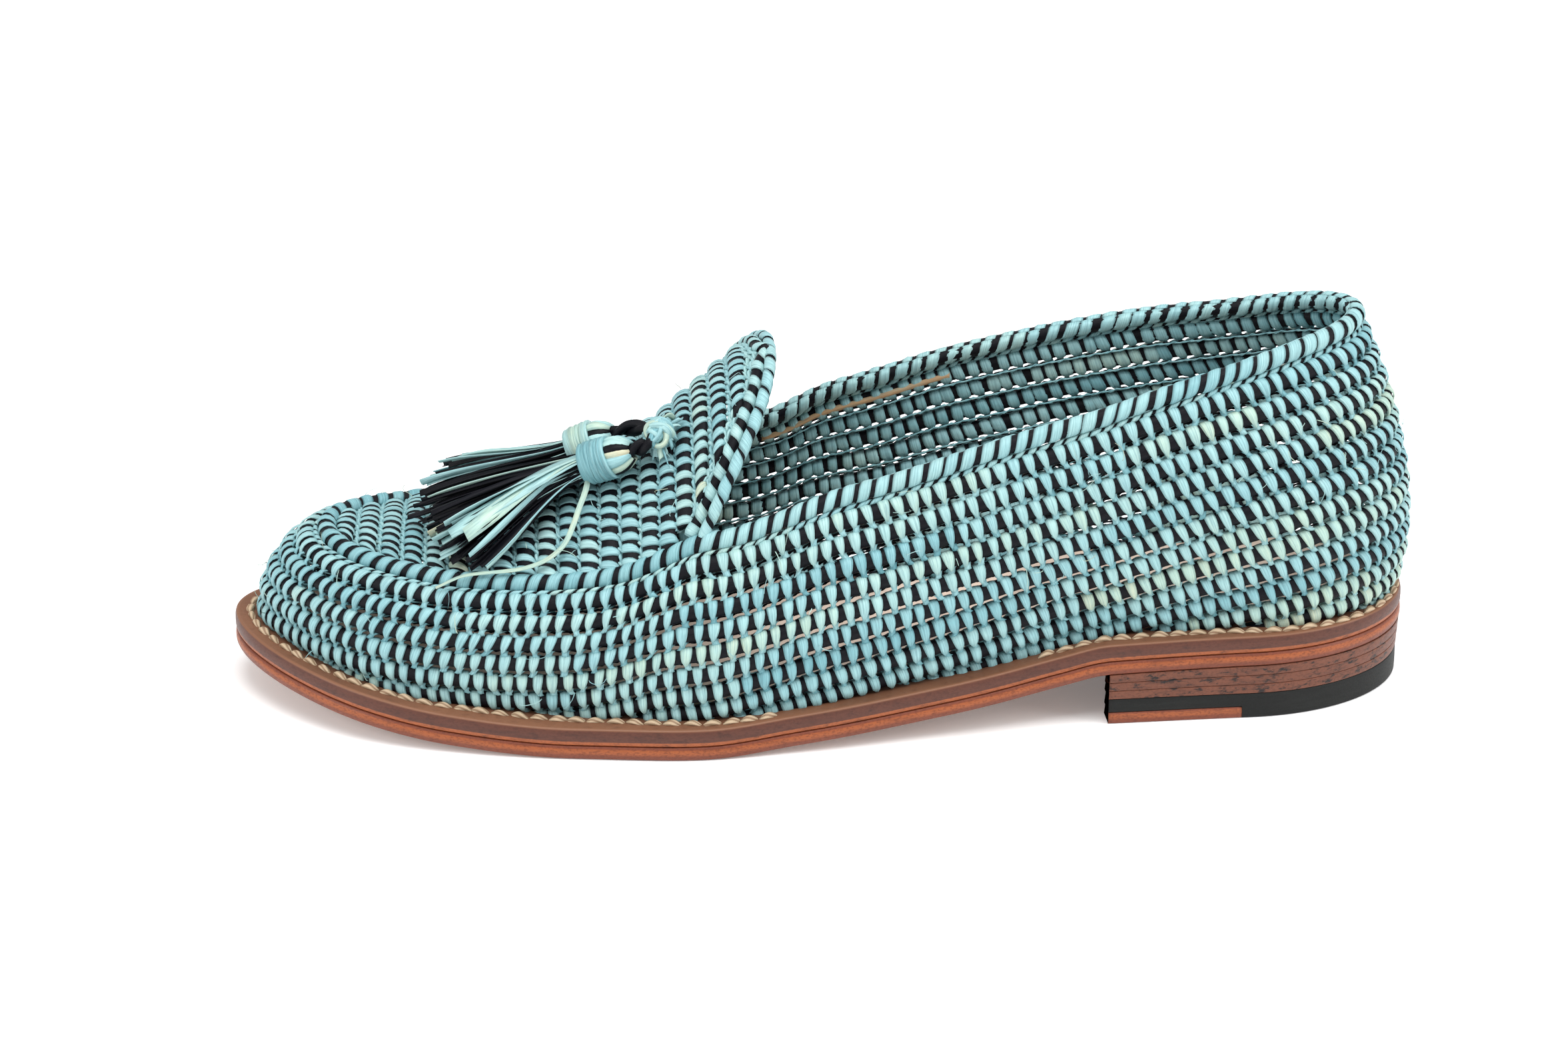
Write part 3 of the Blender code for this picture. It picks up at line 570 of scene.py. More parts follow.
def wraps(rope, pitch, table, radius, thick, phase=0.0, pinch=None, oval=(1.0, 1.0)):
    """Rings of every wrap on a rope, (wraps, steps, sides, 3), and where each wrap starts.

    A share w of the way round, a wrap's angle is 105 - 360 w degrees, its middle has moved lean(w) pitches
    along the rope, and its half width is width(w) pitches. Across it, from -1 to 1, it swells off the core
    like a lens, and more where it is narrow, as a strip does that is gathered up. Its edges are seated a
    little inside the core. An oval rope is scaled out and down.
    """
    count = max(round(rope.length / pitch), 1)
    pitch = rope.length / count
    start = (np.arange(count) + phase + rng.uniform(-0.08, 0.08, count)) * pitch
    each = (count, 1)
    tight = rng.uniform(0.8, 1.2, each) * (1.0 if pinch is None else pinch(rope.at(start)[0]))
    lean = read(table, "lean", WAYS) * rng.uniform(0.75, 1.25, each)
    widest = table["width"].max()
    wide = widest * (read(table, "width", WAYS) / widest) ** tight
    wide = wide * rng.uniform(0.84, 1.13, each)
    lift = read(table, "bulge", WAYS) * (1 + 0.7 * (1 - wide / wide.max())) * rng.uniform(0.8, 1.25, each)
    swell = SWELL * np.concatenate([np.ones(each), rng.uniform(0.7, 1.2, (count, 3)), np.ones(each)], 1)
    point, along, down, out = rope.at(start[:, None] + lean * pitch)
    angle = np.radians(105 - 360 * WAYS)[:, None]
    radial = oval[0] * np.cos(angle) * out - oval[1] * np.sin(angle) * down
    height = radius - WRAP_SEAT + thick * lift[:, :, None] * swell[:, None, :]
    offset = ACROSS * (wide * pitch)[:, :, None]
    rings = point[:, :, None] + radial[:, :, None] * height[..., None] + along[:, :, None] * offset[..., None]
    return rings, start


print("a stitch has", (len(WAYS) - 1) * len(ACROSS) + 2, "faces")

# %% [markdown]
# ## Cores, strands, ties and dyes
# Under the wraps lies the rope itself, a slightly lumpy tube. Thin strands of two twisted plies run beside
# the ropes, and the wrapping strip goes on to the next row as a flat tie. One strip of raffia is long enough
# for several wraps, so neighbours share its colour.

# %% Cores, strands, ties and dyes
CORE_STEP, STRAND_STEP = 0.0016, 0.0009


def tube_angles(sides):
    """Equal steps of a full circle."""
    return 2 * math.pi * np.arange(sides) / sides


def core(rope, radius, sides=12, oval=(1.0, 1.0)):
    """A rope's surface: centre + r (cos a out - sin a down), where r has slow lumps of three sine waves."""
    run = rope.steps(CORE_STEP)
    point, _, down, out = rope.at(run)
    angle = tube_angles(sides)
    waves = rng.uniform(0, 2 * math.pi, 3)
    lumps = sum(np.sin(run / size + wave) for size, wave in zip((0.0021, 0.0047, 0.0093), waves))
    lumps = 1 + 0.006 * lumps[:, None] + 0.008 * np.sin(3 * angle + run[:, None] / 0.012)
    cosine, sine = oval[0] * np.cos(angle)[None, :, None], oval[1] * np.sin(angle)[None, :, None]
    spokes = cosine * out[:, None] - sine * down[:, None]
    return (point[:, None] + radius * lumps[..., None] * spokes)[None]


def twisted(rope, radius, lay, sides=4, step=STRAND_STEP, sway=0.0):
    """Two plies wound round a rope's line: ply k lies at the angle 2 pi (run / lay + k / 2)."""
    run = rope.steps(step)
    turns = max(round(rope.length / lay), 1) / rope.length
    point, _, down, out = rope.at(run)
    point = point + down * (sway * np.sin(2 * math.pi * turns * run))[:, None]
    phase = 2 * math.pi * (turns * run[None, :] + np.array([[0.0], [0.5]]))
    middle = point + radius * 0.8 * (np.cos(phase)[..., None] * out - np.sin(phase)[..., None] * down)
    angle = tube_angles(sides)
    spokes = np.cos(angle)[None, :, None] * out[:, None] - np.sin(angle)[None, :, None] * down[:, None]
    return middle[:, :, None] + radius * spokes[None]


def ties(rope, start, pitch, gap, lean):
    """The strip's way from each wrap to the row below: short flat bands, waisted in the middle.

    Each runs down the wall over the gap, slants a little and stands out where it passes the strand.
    """
    way = np.linspace(0, 1, 6)[None, :, None]
    point, along, down, out = rope.at(start + lean * pitch)
    each = (len(start), 1, 1)
    slant = rng.normal(0.12, 0.12, each) * gap
    line = point[:, None] + down[:, None] * gap * (0.29 + 0.42 * way) + along[:, None] * slant * (way - 0.3)
    line = line + out[:, None] * 0.0007 * np.sin(math.pi * way) * rng.uniform(0.4, 1.3, each)
    angle = tube_angles(5)[:, None]
    girth = 0.00078 - 0.00036 * np.sin(math.pi * way) * rng.uniform(0.6, 1.1, each)
    spokes = 0.7 * np.cos(angle) * out[:, None, None] + 1.5 * np.sin(angle) * along[:, None, None]
    return line[:, :, None] + spokes * girth[..., None]


def dyes(count, around, spread, cream, together=1):
    """A colour for each tube: near one value, with this share of undyed ones.

    One strip of raffia makes about so many wraps together, which share its colour but for a small change.
    """
    strip = np.cumsum(rng.uniform(size=count) < 1 / together) % count
    value = rng.normal(around, spread, count)[strip] + rng.normal(0, 0.03, count)
    value = np.where(rng.uniform(size=count)[strip] < cream, rng.uniform(0.76, 0.88, count)[strip], value)
    return np.clip(value, 0.12, 0.90)


print("steps along ropes and strands in mm:", CORE_STEP * 1000, STRAND_STEP * 1000)

# %% [markdown]
# ## The side wall
# The rows lie below one another from the collar to the welt. Round the waist the lower rows run into the welt
# and end there, so a row is one closed rope or a few open stretches. A thin black strand lies in each gap,
# with a turquoise one inside it in the upper gaps, and flat ties cross from row to row. What stays open lets
# light through. A thin half row fills the gap under the rim, and one core strip inside the collar is undyed.

# %% Rows of the side wall
CORE_RADIUS, STITCH_THICK, STITCH_PITCH = 0.00172, 0.00042, 0.0034
WALL_OVAL = (0.95, 1.15)
ROW_SUNK, TIE_SUNK, STRAND_SUNK = 0.0045, 0.0025, 0.0020
STRAND_RADIUS, STRAND_LAY, STRAND_SWAY = 0.00020, 0.0036, 0.00018
HALF_ROW, HALF_RADIUS, HALF_WRAP, HALF_PITCH = 0.53, 0.00052, 0.00036, 0.0030
STITCH_SHIFT, TIE_LEAN = 0.42, 0.24
# The inside shade is painted shade: a lower dye on the inner side of each wrap.
# The tie shade is painted shade: a lower dye on the ties between the rows.
FIRST_LOW_ROW, INSIDE_PAINTED_SHADE, TIE_PAINTED_SHADE = 6, 0.12, 0.20
UNDYED_TURNS, UNDYED_RADIUS = (1.425, 1.545), 0.00086


def wall_ropes(depth, sunk, inward=0.0):
    """The row at this depth: whole, or cut into stretches where it has sunk this far into the welt."""
    point, down, out = on_wall(TURNS, np.full_like(TURNS, depth))
    point = point - out * inward
    clear = WELT_DEPTH + sunk > depth
    if clear.all():
        return [Rope(point, down, out, True)]
    order = (np.arange(len(TURNS) - 1) + np.flatnonzero(~clear)[0]) % (len(TURNS) - 1)
    runs = np.split(order, np.flatnonzero(np.diff(clear[order].astype(int))) + 1)
    return [Rope(point[run], down[run], out[run], False) for run in runs if clear[run[0]] and len(run) > 12]


def slacker_at_toe(point):
    """How hard a stitch is pulled in below: less at the toe, fully from the ball of the foot on."""
    return np.interp(point[:, :1], [-0.105, -0.045], [0.8, 1.0])


def wall_tone(rings, start, k):
    """A dye for each wrap of row k: its strip's own, drifting with row and place, and deeper at the toe."""
    drift = 0.05 * math.sin(1.7 * k) + 0.007 * k
    tone = dyes(len(start), 0.55 + drift, 0.085, 0.025, 11) + 0.06 * np.sin(start / 0.031 + 2.1 * k)
    return np.minimum(tone, 0.85) - np.interp(rings.mean((1, 2))[:, 0], [-0.105, -0.060], [0.07, 0.0])


def clear_of_welt(rings):
    """Which ties end no deeper than TIE_SUNK below the welt's top."""
    along, lowest = rings.mean((1, 2))[:, 0] + ORIGIN_ALONG, rings[..., 2].min((1, 2))
    return lowest > welt_height(along) - TIE_SUNK


cores, high_wraps, low_wraps, strands, tails = Bundle(), Bundle(), Bundle(), Bundle(), Bundle()
for k in range(1, ROW_COUNT):
    bundle = high_wraps if k < FIRST_LOW_ROW else low_wraps
    for rope in wall_ropes(k * ROW_PITCH, ROW_SUNK):
        cores.add(core(rope, CORE_RADIUS, oval=WALL_OVAL), 0.5, rope.length, 0.012, rope.closed)
        rings, start = wraps(rope, STITCH_PITCH, STITCH, CORE_RADIUS, STITCH_THICK, STITCH_SHIFT * k,
                             slacker_at_toe, WALL_OVAL)
        tone = wall_tone(rings, start, k)
        # Painted shade: the inner side of each wrap, past 0.6 of the way round, gets a lower dye.
        bundle.add(rings, tone[:, None] - INSIDE_PAINTED_SHADE * (WAYS > 0.6), *WRAP_STRIP)
        rings = ties(rope, start, STITCH_PITCH, ROW_PITCH, TIE_LEAN)
        kept = clear_of_welt(rings)
        # Painted shade: each tie gets a lower dye than its wrap, as it lies in the gap between rows.
        tails.add(rings[kept], np.clip(tone - TIE_PAINTED_SHADE, 0, 0.8)[kept], 0.003, 0.003)
between_rows = ((cores, ROW_COUNT - 1, 0.46, 0.0012, 0.60, STRAND_STEP),
                (strands, 8, 0.40, 0.0019, 0.36, 0.0014))
for bundle, last, below, inward, tint, step in between_rows:
    for k in range(1, last):
        for rope in wall_ropes((k + below) * ROW_PITCH, STRAND_SUNK, inward):
            rings = twisted(rope, STRAND_RADIUS, STRAND_LAY, step=step, sway=STRAND_SWAY)
            bundle.add(rings, dyes(2, tint, 0.05, 0), rope.length, 0.002, rope.closed)
for rope in wall_ropes(HALF_ROW * ROW_PITCH, 0.0):
    rings, start = wraps(rope, HALF_PITCH, BINDING, HALF_RADIUS, HALF_WRAP)
    strands.add(rings, dyes(len(start), 0.56, 0.09, 0.01, 6), 0.006, 0.0026)
    cores.add(core(rope, HALF_RADIUS, sides=6), 0.5, rope.length, 0.004, rope.closed)
undyed = np.linspace(*UNDYED_TURNS, 80)
point, down, out = on_wall(undyed, np.full_like(undyed, ROW_PITCH))
rope = Rope(point - out * 0.00112 - down * 0.0003, down, out, False)
strands.add(core(rope, UNDYED_RADIUS), 0.99, rope.length, 0.006)
cores.piece("wall_cores", black, "raffia", "upper")
high_wraps.piece("wall_wraps_high", turquoise, "raffia", "upper")
low_wraps.piece("wall_wraps_low", turquoise, "raffia", "upper")
strands.piece("wall_strands", turquoise, "raffia", "upper")
tails.piece("wall_ties", turquoise, "raffia", "upper")

# %% [markdown]
# ## Rim, apron and tongue
# The top row is a thicker rope, bound so closely that the black shows only here and there. It is the collar's
# edge behind the throat and the raised seam round the apron before it. The apron's rows run across the foot,
# evenly spaced up its slope and on up the tongue, which is edged by two thinner rows that follow its outline.
# Here twisted strands fill the gaps between the rows, so that the apron is nearly closed.

# %% Rows that follow the tongue
RIM_RADIUS, RIM_WRAP, RIM_PITCH = 0.00196, 0.00042, 0.0040
TONGUE_RIM, TONGUE_RIM_WRAP, TONGUE_RIM_PITCH, TONGUE_RIM_SPREAD = 0.00120, 0.00034, 0.0053, 1.13
TONGUE_ROW, TONGUE_ROW_PITCH, TONGUE_INSET, JOIN_INSET = 0.00132, 0.0048, 0.0030, 0.0050
APRON_OVAL, SEAM_SHADE = (0.66, 1.20), 0.19
APRON_FILLER, TONGUE_FILLER, FILLER_SINK, FILLER_STEP = 0.00060, 0.00050, 0.0004, 0.0012
FIRST_APRON_ROW, LAST_APRON_ROW, APRON_PITCH = 0.0044, 0.0085, 0.0052
TONGUE_ALONG = np.linspace(THROAT - 0.0020, TONGUE_TIP - 0.00001, 160)
tongue_outer, tongue_inner = (placed(edge) for edge in apron_edges(TONGUE_ALONG))
TONGUE_LINE = np.concatenate([tongue_outer, tongue_inner[::-1]])


def from_edge(points):
    """Each point's distance from the tongue's free edge."""
    return np.min([np.linalg.norm(points - corner, axis=-1) for corner in TONGUE_LINE[::2]], axis=0)


def apron_rope(along, inset, sink=0.0):
    """A row across the apron at one place, as far as it stays this far inside the tongue's edge."""
    share = np.linspace(-0.985, 0.985, 140)
    share = share[from_edge(apron_point(along, share)) >= inset]
    point, heelward, normal = on_apron(np.full_like(share, along), share)
    return Rope(point - normal * sink, heelward, normal, False)


def tongue_rope(inset):
    """A row this far inside the tongue's edge, from one throat corner over the tip to the other.

    At each place across, the row lies as far up the tongue as its distance from the edge allows.
    """
    along, outer, inner = TONGUE_ALONG, tongue_outer, tongue_inner
    if inset == 0:
        place, share = np.concatenate([along, along[::-1]]), np.repeat([-0.999, 0.999], len(along))
    else:
        across = np.linspace(outer[0, 1], inner[0, 1], 130)
        middle, half = (outer[:, 1] + inner[:, 1]) / 2, (inner[:, 1] - outer[:, 1]) / 2
        shares = (across[:, None] - middle) / half
        field = apron_point(np.broadcast_to(along, shares.shape), np.clip(shares, -1, 1))
        free = (from_edge(field) >= inset) & (np.abs(shares) < 1)
        used = free.any(1)
        place = np.max(np.where(free, along, 0), 1)[used]
        share = (across[used] - np.interp(place, along, middle)) / np.interp(place, along, half)
    point, _, normal = on_apron(place, share)
    for _ in range(12):
        point[1:-1] = (point[:-2] + 2 * point[1:-1] + point[2:]) / 4
        normal[1:-1] = (normal[:-2] + 2 * normal[1:-1] + normal[2:]) / 4
    normal = unit(normal)
    return Rope(point, unit(np.cross(unit(np.gradient(point, axis=0)), normal)), normal, False)


print("tongue's edge from end to end in mm:", round(tongue_rope(0.0).length * 1000, 1))

# %% [markdown]
# ## Winding the rim, the apron and the tongue
# The apron's rows are spaced by the running length up its ridge, so that they stay one pitch apart where it
# steepens. The rims come first, then the tongue's inner row, the rows across and the strands between them.

# %% Rows of rim, apron and tongue
ridge = np.linspace(RIM_PLAN["along"][0], TONGUE_TIP, 500)
ridge_height = read(APRON_RIDGE, "height", ridge)
ridge_run = np.concatenate([[0], np.cumsum(np.hypot(np.diff(ridge), np.diff(ridge_height)))])
row_span = ridge_run[-1] - FIRST_APRON_ROW - LAST_APRON_ROW
row_runs = np.linspace(FIRST_APRON_ROW, ridge_run[-1] - LAST_APRON_ROW, round(row_span / APRON_PITCH) + 1)
apron_rows = np.interp(row_runs, ridge_run, ridge)
edging, apron_cores, apron_wraps = Bundle(), Bundle(), Bundle()
spread_binding = dict(BINDING, width=BINDING["width"] * TONGUE_RIM_SPREAD)
rims = [(rope, BINDING, RIM_RADIUS, RIM_WRAP, RIM_PITCH) for rope in wall_ropes(0.0, 0.0)]
rims.append((tongue_rope(0.0), spread_binding, TONGUE_RIM, TONGUE_RIM_WRAP, TONGUE_RIM_PITCH))
for rope, table, radius, thick, pitch in rims:
    apron_cores.add(core(rope, radius), 0.5, rope.length, 0.013, rope.closed)
    rings, start = wraps(rope, pitch, table, radius, thick)
    seam = rings.mean((1, 2))[:, 0] < THROAT - ORIGIN_ALONG
    tone = dyes(len(start), 0.53, 0.08, 0.02, 9) - np.where(seam, SEAM_SHADE, 0.0)
    edging.add(rings, tone, 0.014, 0.9 * pitch)
rope = tongue_rope(TONGUE_INSET)
apron_cores.add(core(rope, TONGUE_ROW), 0.5, rope.length, 0.012)
rings, start = wraps(rope, TONGUE_ROW_PITCH, BAND, TONGUE_ROW, STITCH_THICK)
apron_wraps.add(rings, dyes(len(start), 0.54, 0.09, 0.012, 8), *WRAP_STRIP)
for along in apron_rows:
    rope = apron_rope(along, JOIN_INSET - 0.0004)
    apron_cores.add(core(rope, CORE_RADIUS, oval=APRON_OVAL), 0.5, rope.length, 0.012)
    rings, start = wraps(rope, STITCH_PITCH, CRESCENT, CORE_RADIUS, STITCH_THICK, rng.uniform(),
                         oval=APRON_OVAL)
    tint = 0.46 if along < 0.1 else 0.55
    apron_wraps.add(rings, dyes(len(start), tint, 0.10, 0.02, 7), *WRAP_STRIP)
gaps = np.interp((row_runs[:-1] + row_runs[1:]) / 2, ridge_run, ridge)
fillers = [(apron_rope(along, JOIN_INSET, FILLER_SINK), APRON_FILLER, 0.44) for along in gaps]
fillers += [(tongue_rope(inset), TONGUE_FILLER, 0.58) for inset in (JOIN_INSET, JOIN_INSET + FILLER_STEP)]
for rope, radius, tint in fillers:
    rings = twisted(rope, radius, STITCH_PITCH, sway=0.0003)
    apron_wraps.add(rings, dyes(2, tint, 0.05, 0), rope.length, 0.002)
apron_cores.piece("apron_cores", black, "raffia", "upper")
apron_wraps.piece("apron_wraps", turquoise, "raffia", "upper")
edging.piece("rim_binding", turquoise, "raffia", "upper")
print(len(apron_rows), "rows across the apron, and one inside the tongue's rim")

# %% [markdown]
# ## The leather sole and heel
# The sole is a stack of slabs with waxed edges. A slab is a band carried round the plan curve, with rounded
# corners and a slightly swollen side, closed above and below by a ladder of faces from the outer side to the
# inner. A value called "rise" goes from 0 under the slab over 1 and 2 at its two edges to 3 on top, so that a
# finish can tell the cut edge from the faces.

# %% Slabs
def turn_at(along):
    """The turn on the outer side that lies this far from the toe: arccos(1 - 2 a / length) / pi."""
    return math.acos(1 - 2 * along / SOLE_LENGTH) / math.pi


def slab(name, finish, slot, low, high, stations, inset=0.0, taper=0.0, corner=0.0006, swell=0.00015,
         inner=None):
    """A closed slab: the edge's profile at every station of the outer side, then back along the inner side.

    The profile runs from under the slab round a quarter circle, up the swollen side, round another and in.
    low and high are heights as functions of along, and taper draws the foot in. inner gives the inner
    side's own stations where they differ from the outer side's.
    """
    quarter = np.linspace(0, math.pi / 2, 5)
    turned = corner * (1 - np.sin(quarter)), corner * (1 - np.cos(quarter))
    inward = np.concatenate([[0.006, 0.0016], turned[0], [-swell, -1.25 * swell, -swell], turned[0][::-1],
                             [0.0016, 0.006]])
    rounding = np.concatenate([[0, 0], turned[1], [0, 0, 0], -turned[1][::-1], [0, 0]])
    share = np.concatenate([np.zeros(7), [0.25, 0.5, 0.75], np.ones(7)])
    rise = np.concatenate([[0, 0.8], np.linspace(0.95, 1.1, 5), [1.25, 1.5, 1.75],
                           np.linspace(1.9, 2.05, 5), [2.2, 3]])
    whole = stations[0] == 0
    back = stations if inner is None else inner
    loop = np.concatenate([stations, 2 - back[-2::-1]])[:-1 if whole else None]
    inset = np.broadcast_to(inset, stations.shape)
    inset = np.concatenate([inset, inset[-2::-1]])[:-1 if whole else None]
    moved = inset[:, None] + inward + taper * (1 - share)
    edge = sole_edge(np.repeat(loop[:, None], len(share), 1), moved)
    along = edge[..., 0]
    height = low(along) * (1 - share) + high(along) * share + rounding
    points = placed(np.concatenate([edge, height[..., None]], -1))
    count, sides = points.shape[:2]
    index = np.arange(count * sides).reshape(count, sides)
    after = np.roll(index, -1, 0)
    faces = np.stack([index[:, :-1], after[:, :-1], after[:, 1:], index[:, 1:]], -1).reshape(-1, 4)
    outer = np.arange(len(stations))
    facing = (count - outer) % count if whole else count - 1 - outer
    rungs = np.stack([outer[:-1], outer[1:], facing[1:], facing[:-1]], -1)
    ladders = np.concatenate([index[rungs[:, ::-1], 0], index[rungs, -1]])
    faces = [list(dict.fromkeys(face)) for face in np.concatenate([faces, ladders]).tolist()]
    return make_piece("dressed_" + name, points.reshape(-1, 3), faces, finish, [name],
                      values={"rise": np.tile(rise, count)})


print("turn at the heel's breast:", round(turn_at(HEEL_BREAST), 3))

# %% [markdown]
# ## Leather and rubber finishes
# A cut leather edge shows fine fibres that lie flat in the layer, under a coat of wax. The welt layer is
# stained dark, with a pale line along its upper corner and a tan foot over the outsole. The outsole is a warm
# tan with a speckled grain, the heel's lifts are brown with black marks, and the insole is a pale sock. The
# rubber is a dull charcoal.

# %% Leather and rubber
def leather(name, side, stain, face, line=None, band=None, foot=None, mottle=(0.62, 0.75), speckle=0.35,
            roughness=0.46, coat=0.12):
    """The side's colour, stained by a broad noise and speckled by a fine one.

    The rise value tells apart the side's foot, its middle band, the line on its upper corner and the faces.
    """
    made, shader, v = new_finish(name)
    place = v.node("TexCoord", output=3)
    rise = v.node("Attribute", {"attribute_name": "rise"}, output=2)
    fine = place.stretched(1400.0, 1400.0, 2600.0).noise(1.0, 3.0)
    lying = place.stretched(120.0, 120.0, 900.0).noise(1.0, 3.0)
    broad = place.stretched(330.0, 330.0, 760.0).noise(1.0, 5.0, 0.7)
    if band:
        side = (rise.step(1.30, 1.55) * (1 - rise.step(1.80, 1.95))).mix(side, band)
    if foot:
        side = rise.step(1.24, 1.30).mix(foot, side)
    colour = broad.step(*mottle).mix(side, stain)
    colour = (speckle * fine.step(0.42, 0.70)).mix(colour, stain)
    colour = (0.35 * lying.step(0.45, 0.75)).mix(colour, stain)
    pores = place.noise(420.0, 2.0)
    wear = place.noise(38.0, 3.0)
    tanned = wear.step(0.35, 0.75).mix(face, tuple(0.72 * c for c in face[:3]) + (1.0,))
    tanned = (0.25 * pores.step(0.5, 0.75)).mix(tanned, stain)
    on_face = 1 - rise.step(0.82, 0.95) * (1 - rise.step(2.03, 2.12))
    if line:
        colour = (rise.step(1.90, 1.98) * 0.8).mix(colour, line)
    v.put(shader.inputs["Base Color"], on_face.mix(colour, tanned))
    v.put(shader.inputs["Roughness"], roughness + (fine - 0.5) * 0.25 + on_face * 0.18)
    relief = fine * 0.4 + lying * 0.6 + pores * on_face
    v.put(shader.inputs["Normal"], relief.bump(0.3, 0.0002))
    v.put(shader.inputs["Coat Weight"], coat)
    v.put(shader.inputs["Coat Roughness"], 0.35)
    v.put(shader.inputs["Specular IOR Level"], 0.32)
    return made


welt_leather = leather("welt_leather", ink(88, 50, 38), ink(54, 31, 25), ink(122, 82, 59),
                       line=ink(130, 89, 64), foot=ink(158, 86, 48), speckle=0.3, mottle=(0.5, 0.8),
                       coat=0.06)
tan_leather = leather("tan_edge_leather", ink(120, 62, 42), ink(88, 44, 31), ink(150, 98, 66),
                      band=ink(152, 82, 46), speckle=0.55, coat=0.06)
stack_leather = leather("stacked_leather", ink(110, 64, 46), ink(26, 20, 19), ink(92, 58, 44),
                        speckle=0.3, mottle=(0.50, 0.64), coat=0.05)
sock_leather = leather("insole_leather", ink(216, 190, 168), ink(192, 162, 140), ink(234, 210, 193),
                       speckle=0.1, roughness=0.55, coat=0.0)


def rubber(name):
    """Charcoal rubber with faint moulding grain and scuffs."""
    made, shader, v = new_finish(name)
    place = v.node("TexCoord", output=3)
    grain, scuff = place.noise(2600.0, 2.0), place.stretched(60.0, 60.0, 500.0).noise(1.0, 4.0)
    v.put(shader.inputs["Base Color"], scuff.step(0.4, 0.8).mix(ink(13, 15, 14), ink(24, 26, 25)))
    v.put(shader.inputs["Roughness"], 0.55 + (grain - 0.5) * 0.3)
    v.put(shader.inputs["Normal"], grain.bump(0.2, 0.0001))
    v.put(shader.inputs["Specular IOR Level"], 0.28)
    return made


charcoal = rubber("charcoal_rubber")
print("finishes:", welt_leather.name, tan_leather.name, stack_leather.name, sock_leather.name, charcoal.name)

# %% [markdown]
# ## The layers in place
# The outsole, the welt layer and the insole follow the whole outline. The heel's lifts, its rubber and its
# leather tip start at the breast, which lies further back on the inner side, and each lift is drawn in a
# little. Hair-thin joints stay open between the layers, so that each shows as a layer of its own.

# %% Sole and heel
OUTSOLE_TOP, MIDSOLE_FOOT = OUTSOLE_THICK + 0.0001, OUTSOLE_THICK + 0.0002
LIFT_JOINT, TIP_JOINT, STEP_HALF = 0.00006, 0.00005, 0.00004
LIFT_EDGE = dict(corner=0.00018, swell=0.00004)
TOP_PIECE_EDGE = dict(corner=0.0003, swell=0.00004)


def level(value):
    """The same height all along."""
    return lambda along: np.full_like(along, value)


def raised(height, lift):
    """Another height, raised by this much."""
    return lambda along: height(along) + lift


def stack_level(share):
    """The height in the heel stack, from the rubber at 0 to the outsole at 1."""
    return lambda along: TOP_LIFT + (bottom_height(along) - TOP_LIFT) * share


whole_sole = np.linspace(0, 1, 150)
sole_along = outline(SOLE_PLAN, SOLE_ROUNDS, whole_sole)[:, 0]
margin = read(WELT_MARGIN, "width", sole_along) + RIM_THICK / 2 + SEAT_GAP
tip_end = HEEL_BREAST + TIP_LENGTH
breasts = (HEEL_BREAST, HEEL_BREAST + BREAST_SKEW)
front, front_inner = (np.linspace(turn_at(breast), turn_at(tip_end - STEP_HALF), 30) for breast in breasts)
rear = np.linspace(turn_at(tip_end + STEP_HALF), 1, 44)
heel, heel_inner = np.concatenate([front, rear]), np.concatenate([front_inner, rear])
slab("outsole", tan_leather, "edge_leather", bottom_height, raised(bottom_height, OUTSOLE_TOP), whole_sole)
slab("midsole", welt_leather, "welt_leather", raised(bottom_height, MIDSOLE_FOOT), welt_height, whole_sole)
slab("insole", sock_leather, "insole_leather", raised(welt_height, SEAT_GAP),
     raised(welt_height, SEAT_GAP + INSOLE_THICK), whole_sole, margin)
for i in range(LIFT_COUNT):
    low, high = i / LIFT_COUNT, (i + 1) / LIFT_COUNT
    slab(f"heel_lift_{i + 1}", stack_leather, "stack_leather", stack_level(low),
         raised(stack_level(high), -LIFT_JOINT), heel, HEEL_TAPER * (1 - high), HEEL_TAPER / LIFT_COUNT,
         inner=heel_inner, **LIFT_EDGE)
slab("heel_leather_tip", tan_leather, "edge_leather", level(0.0), level(TIP_THICK - TIP_JOINT), front,
     HEEL_TAPER, inner=front_inner, **TOP_PIECE_EDGE)
slab("heel_rubber", charcoal, "heel_rubber", lambda along: np.where(along < tip_end, TIP_THICK, 0.0),
     level(TOP_LIFT - LIFT_JOINT), heel, HEEL_TAPER, inner=heel_inner, **TOP_PIECE_EDGE)

# %% [markdown]
# ## The welt's stitching
# A cream waxed thread sews the upper to the welt, in chunky stitches just outside the lowest row. Each stitch
# is a short arch of thread that dives into the leather at both ends, and its twist is a bump of slanting
# waves. Along the waist the thread is hidden, so there the stitches stop.

# %% Welt stitches
WELT_PITCH, WELT_INSET, THREAD_RADIUS = 0.0043, 0.0036, 0.00076
WAIST = (0.125, 0.182)


def waxed_thread(name):
    """The wave sin(1300 u + 4400 v) marks the grooves between two plies: lower in the bump, and darkened with
    painted shade.
    """
    made, shader, v = new_finish(name)
    uv = v.node("UVMap", {"uv_map": "strip"})
    lengthwise, round_it = (v.node("SeparateXYZ", None, {0: uv}, axis) for axis in (0, 1))
    ply = v.math("SINE", lengthwise * 1300.0 + round_it * 4400.0, 0.0)
    fluff = uv.stretched(900.0, 2600.0, 1.0).noise(1.0)
    # Painted shade: the grooves between the plies are coloured darker.
    groove_shade = ply.step(-1.0, -0.1)
    v.put(shader.inputs["Base Color"], groove_shade.mix(ink(138, 110, 84), ink(188, 165, 136)))
    v.put(shader.inputs["Roughness"], 0.5 + fluff * 0.2)
    v.put(shader.inputs["Normal"], (ply * 0.5 + fluff * 0.3).bump(0.8, 0.0003))
    return made


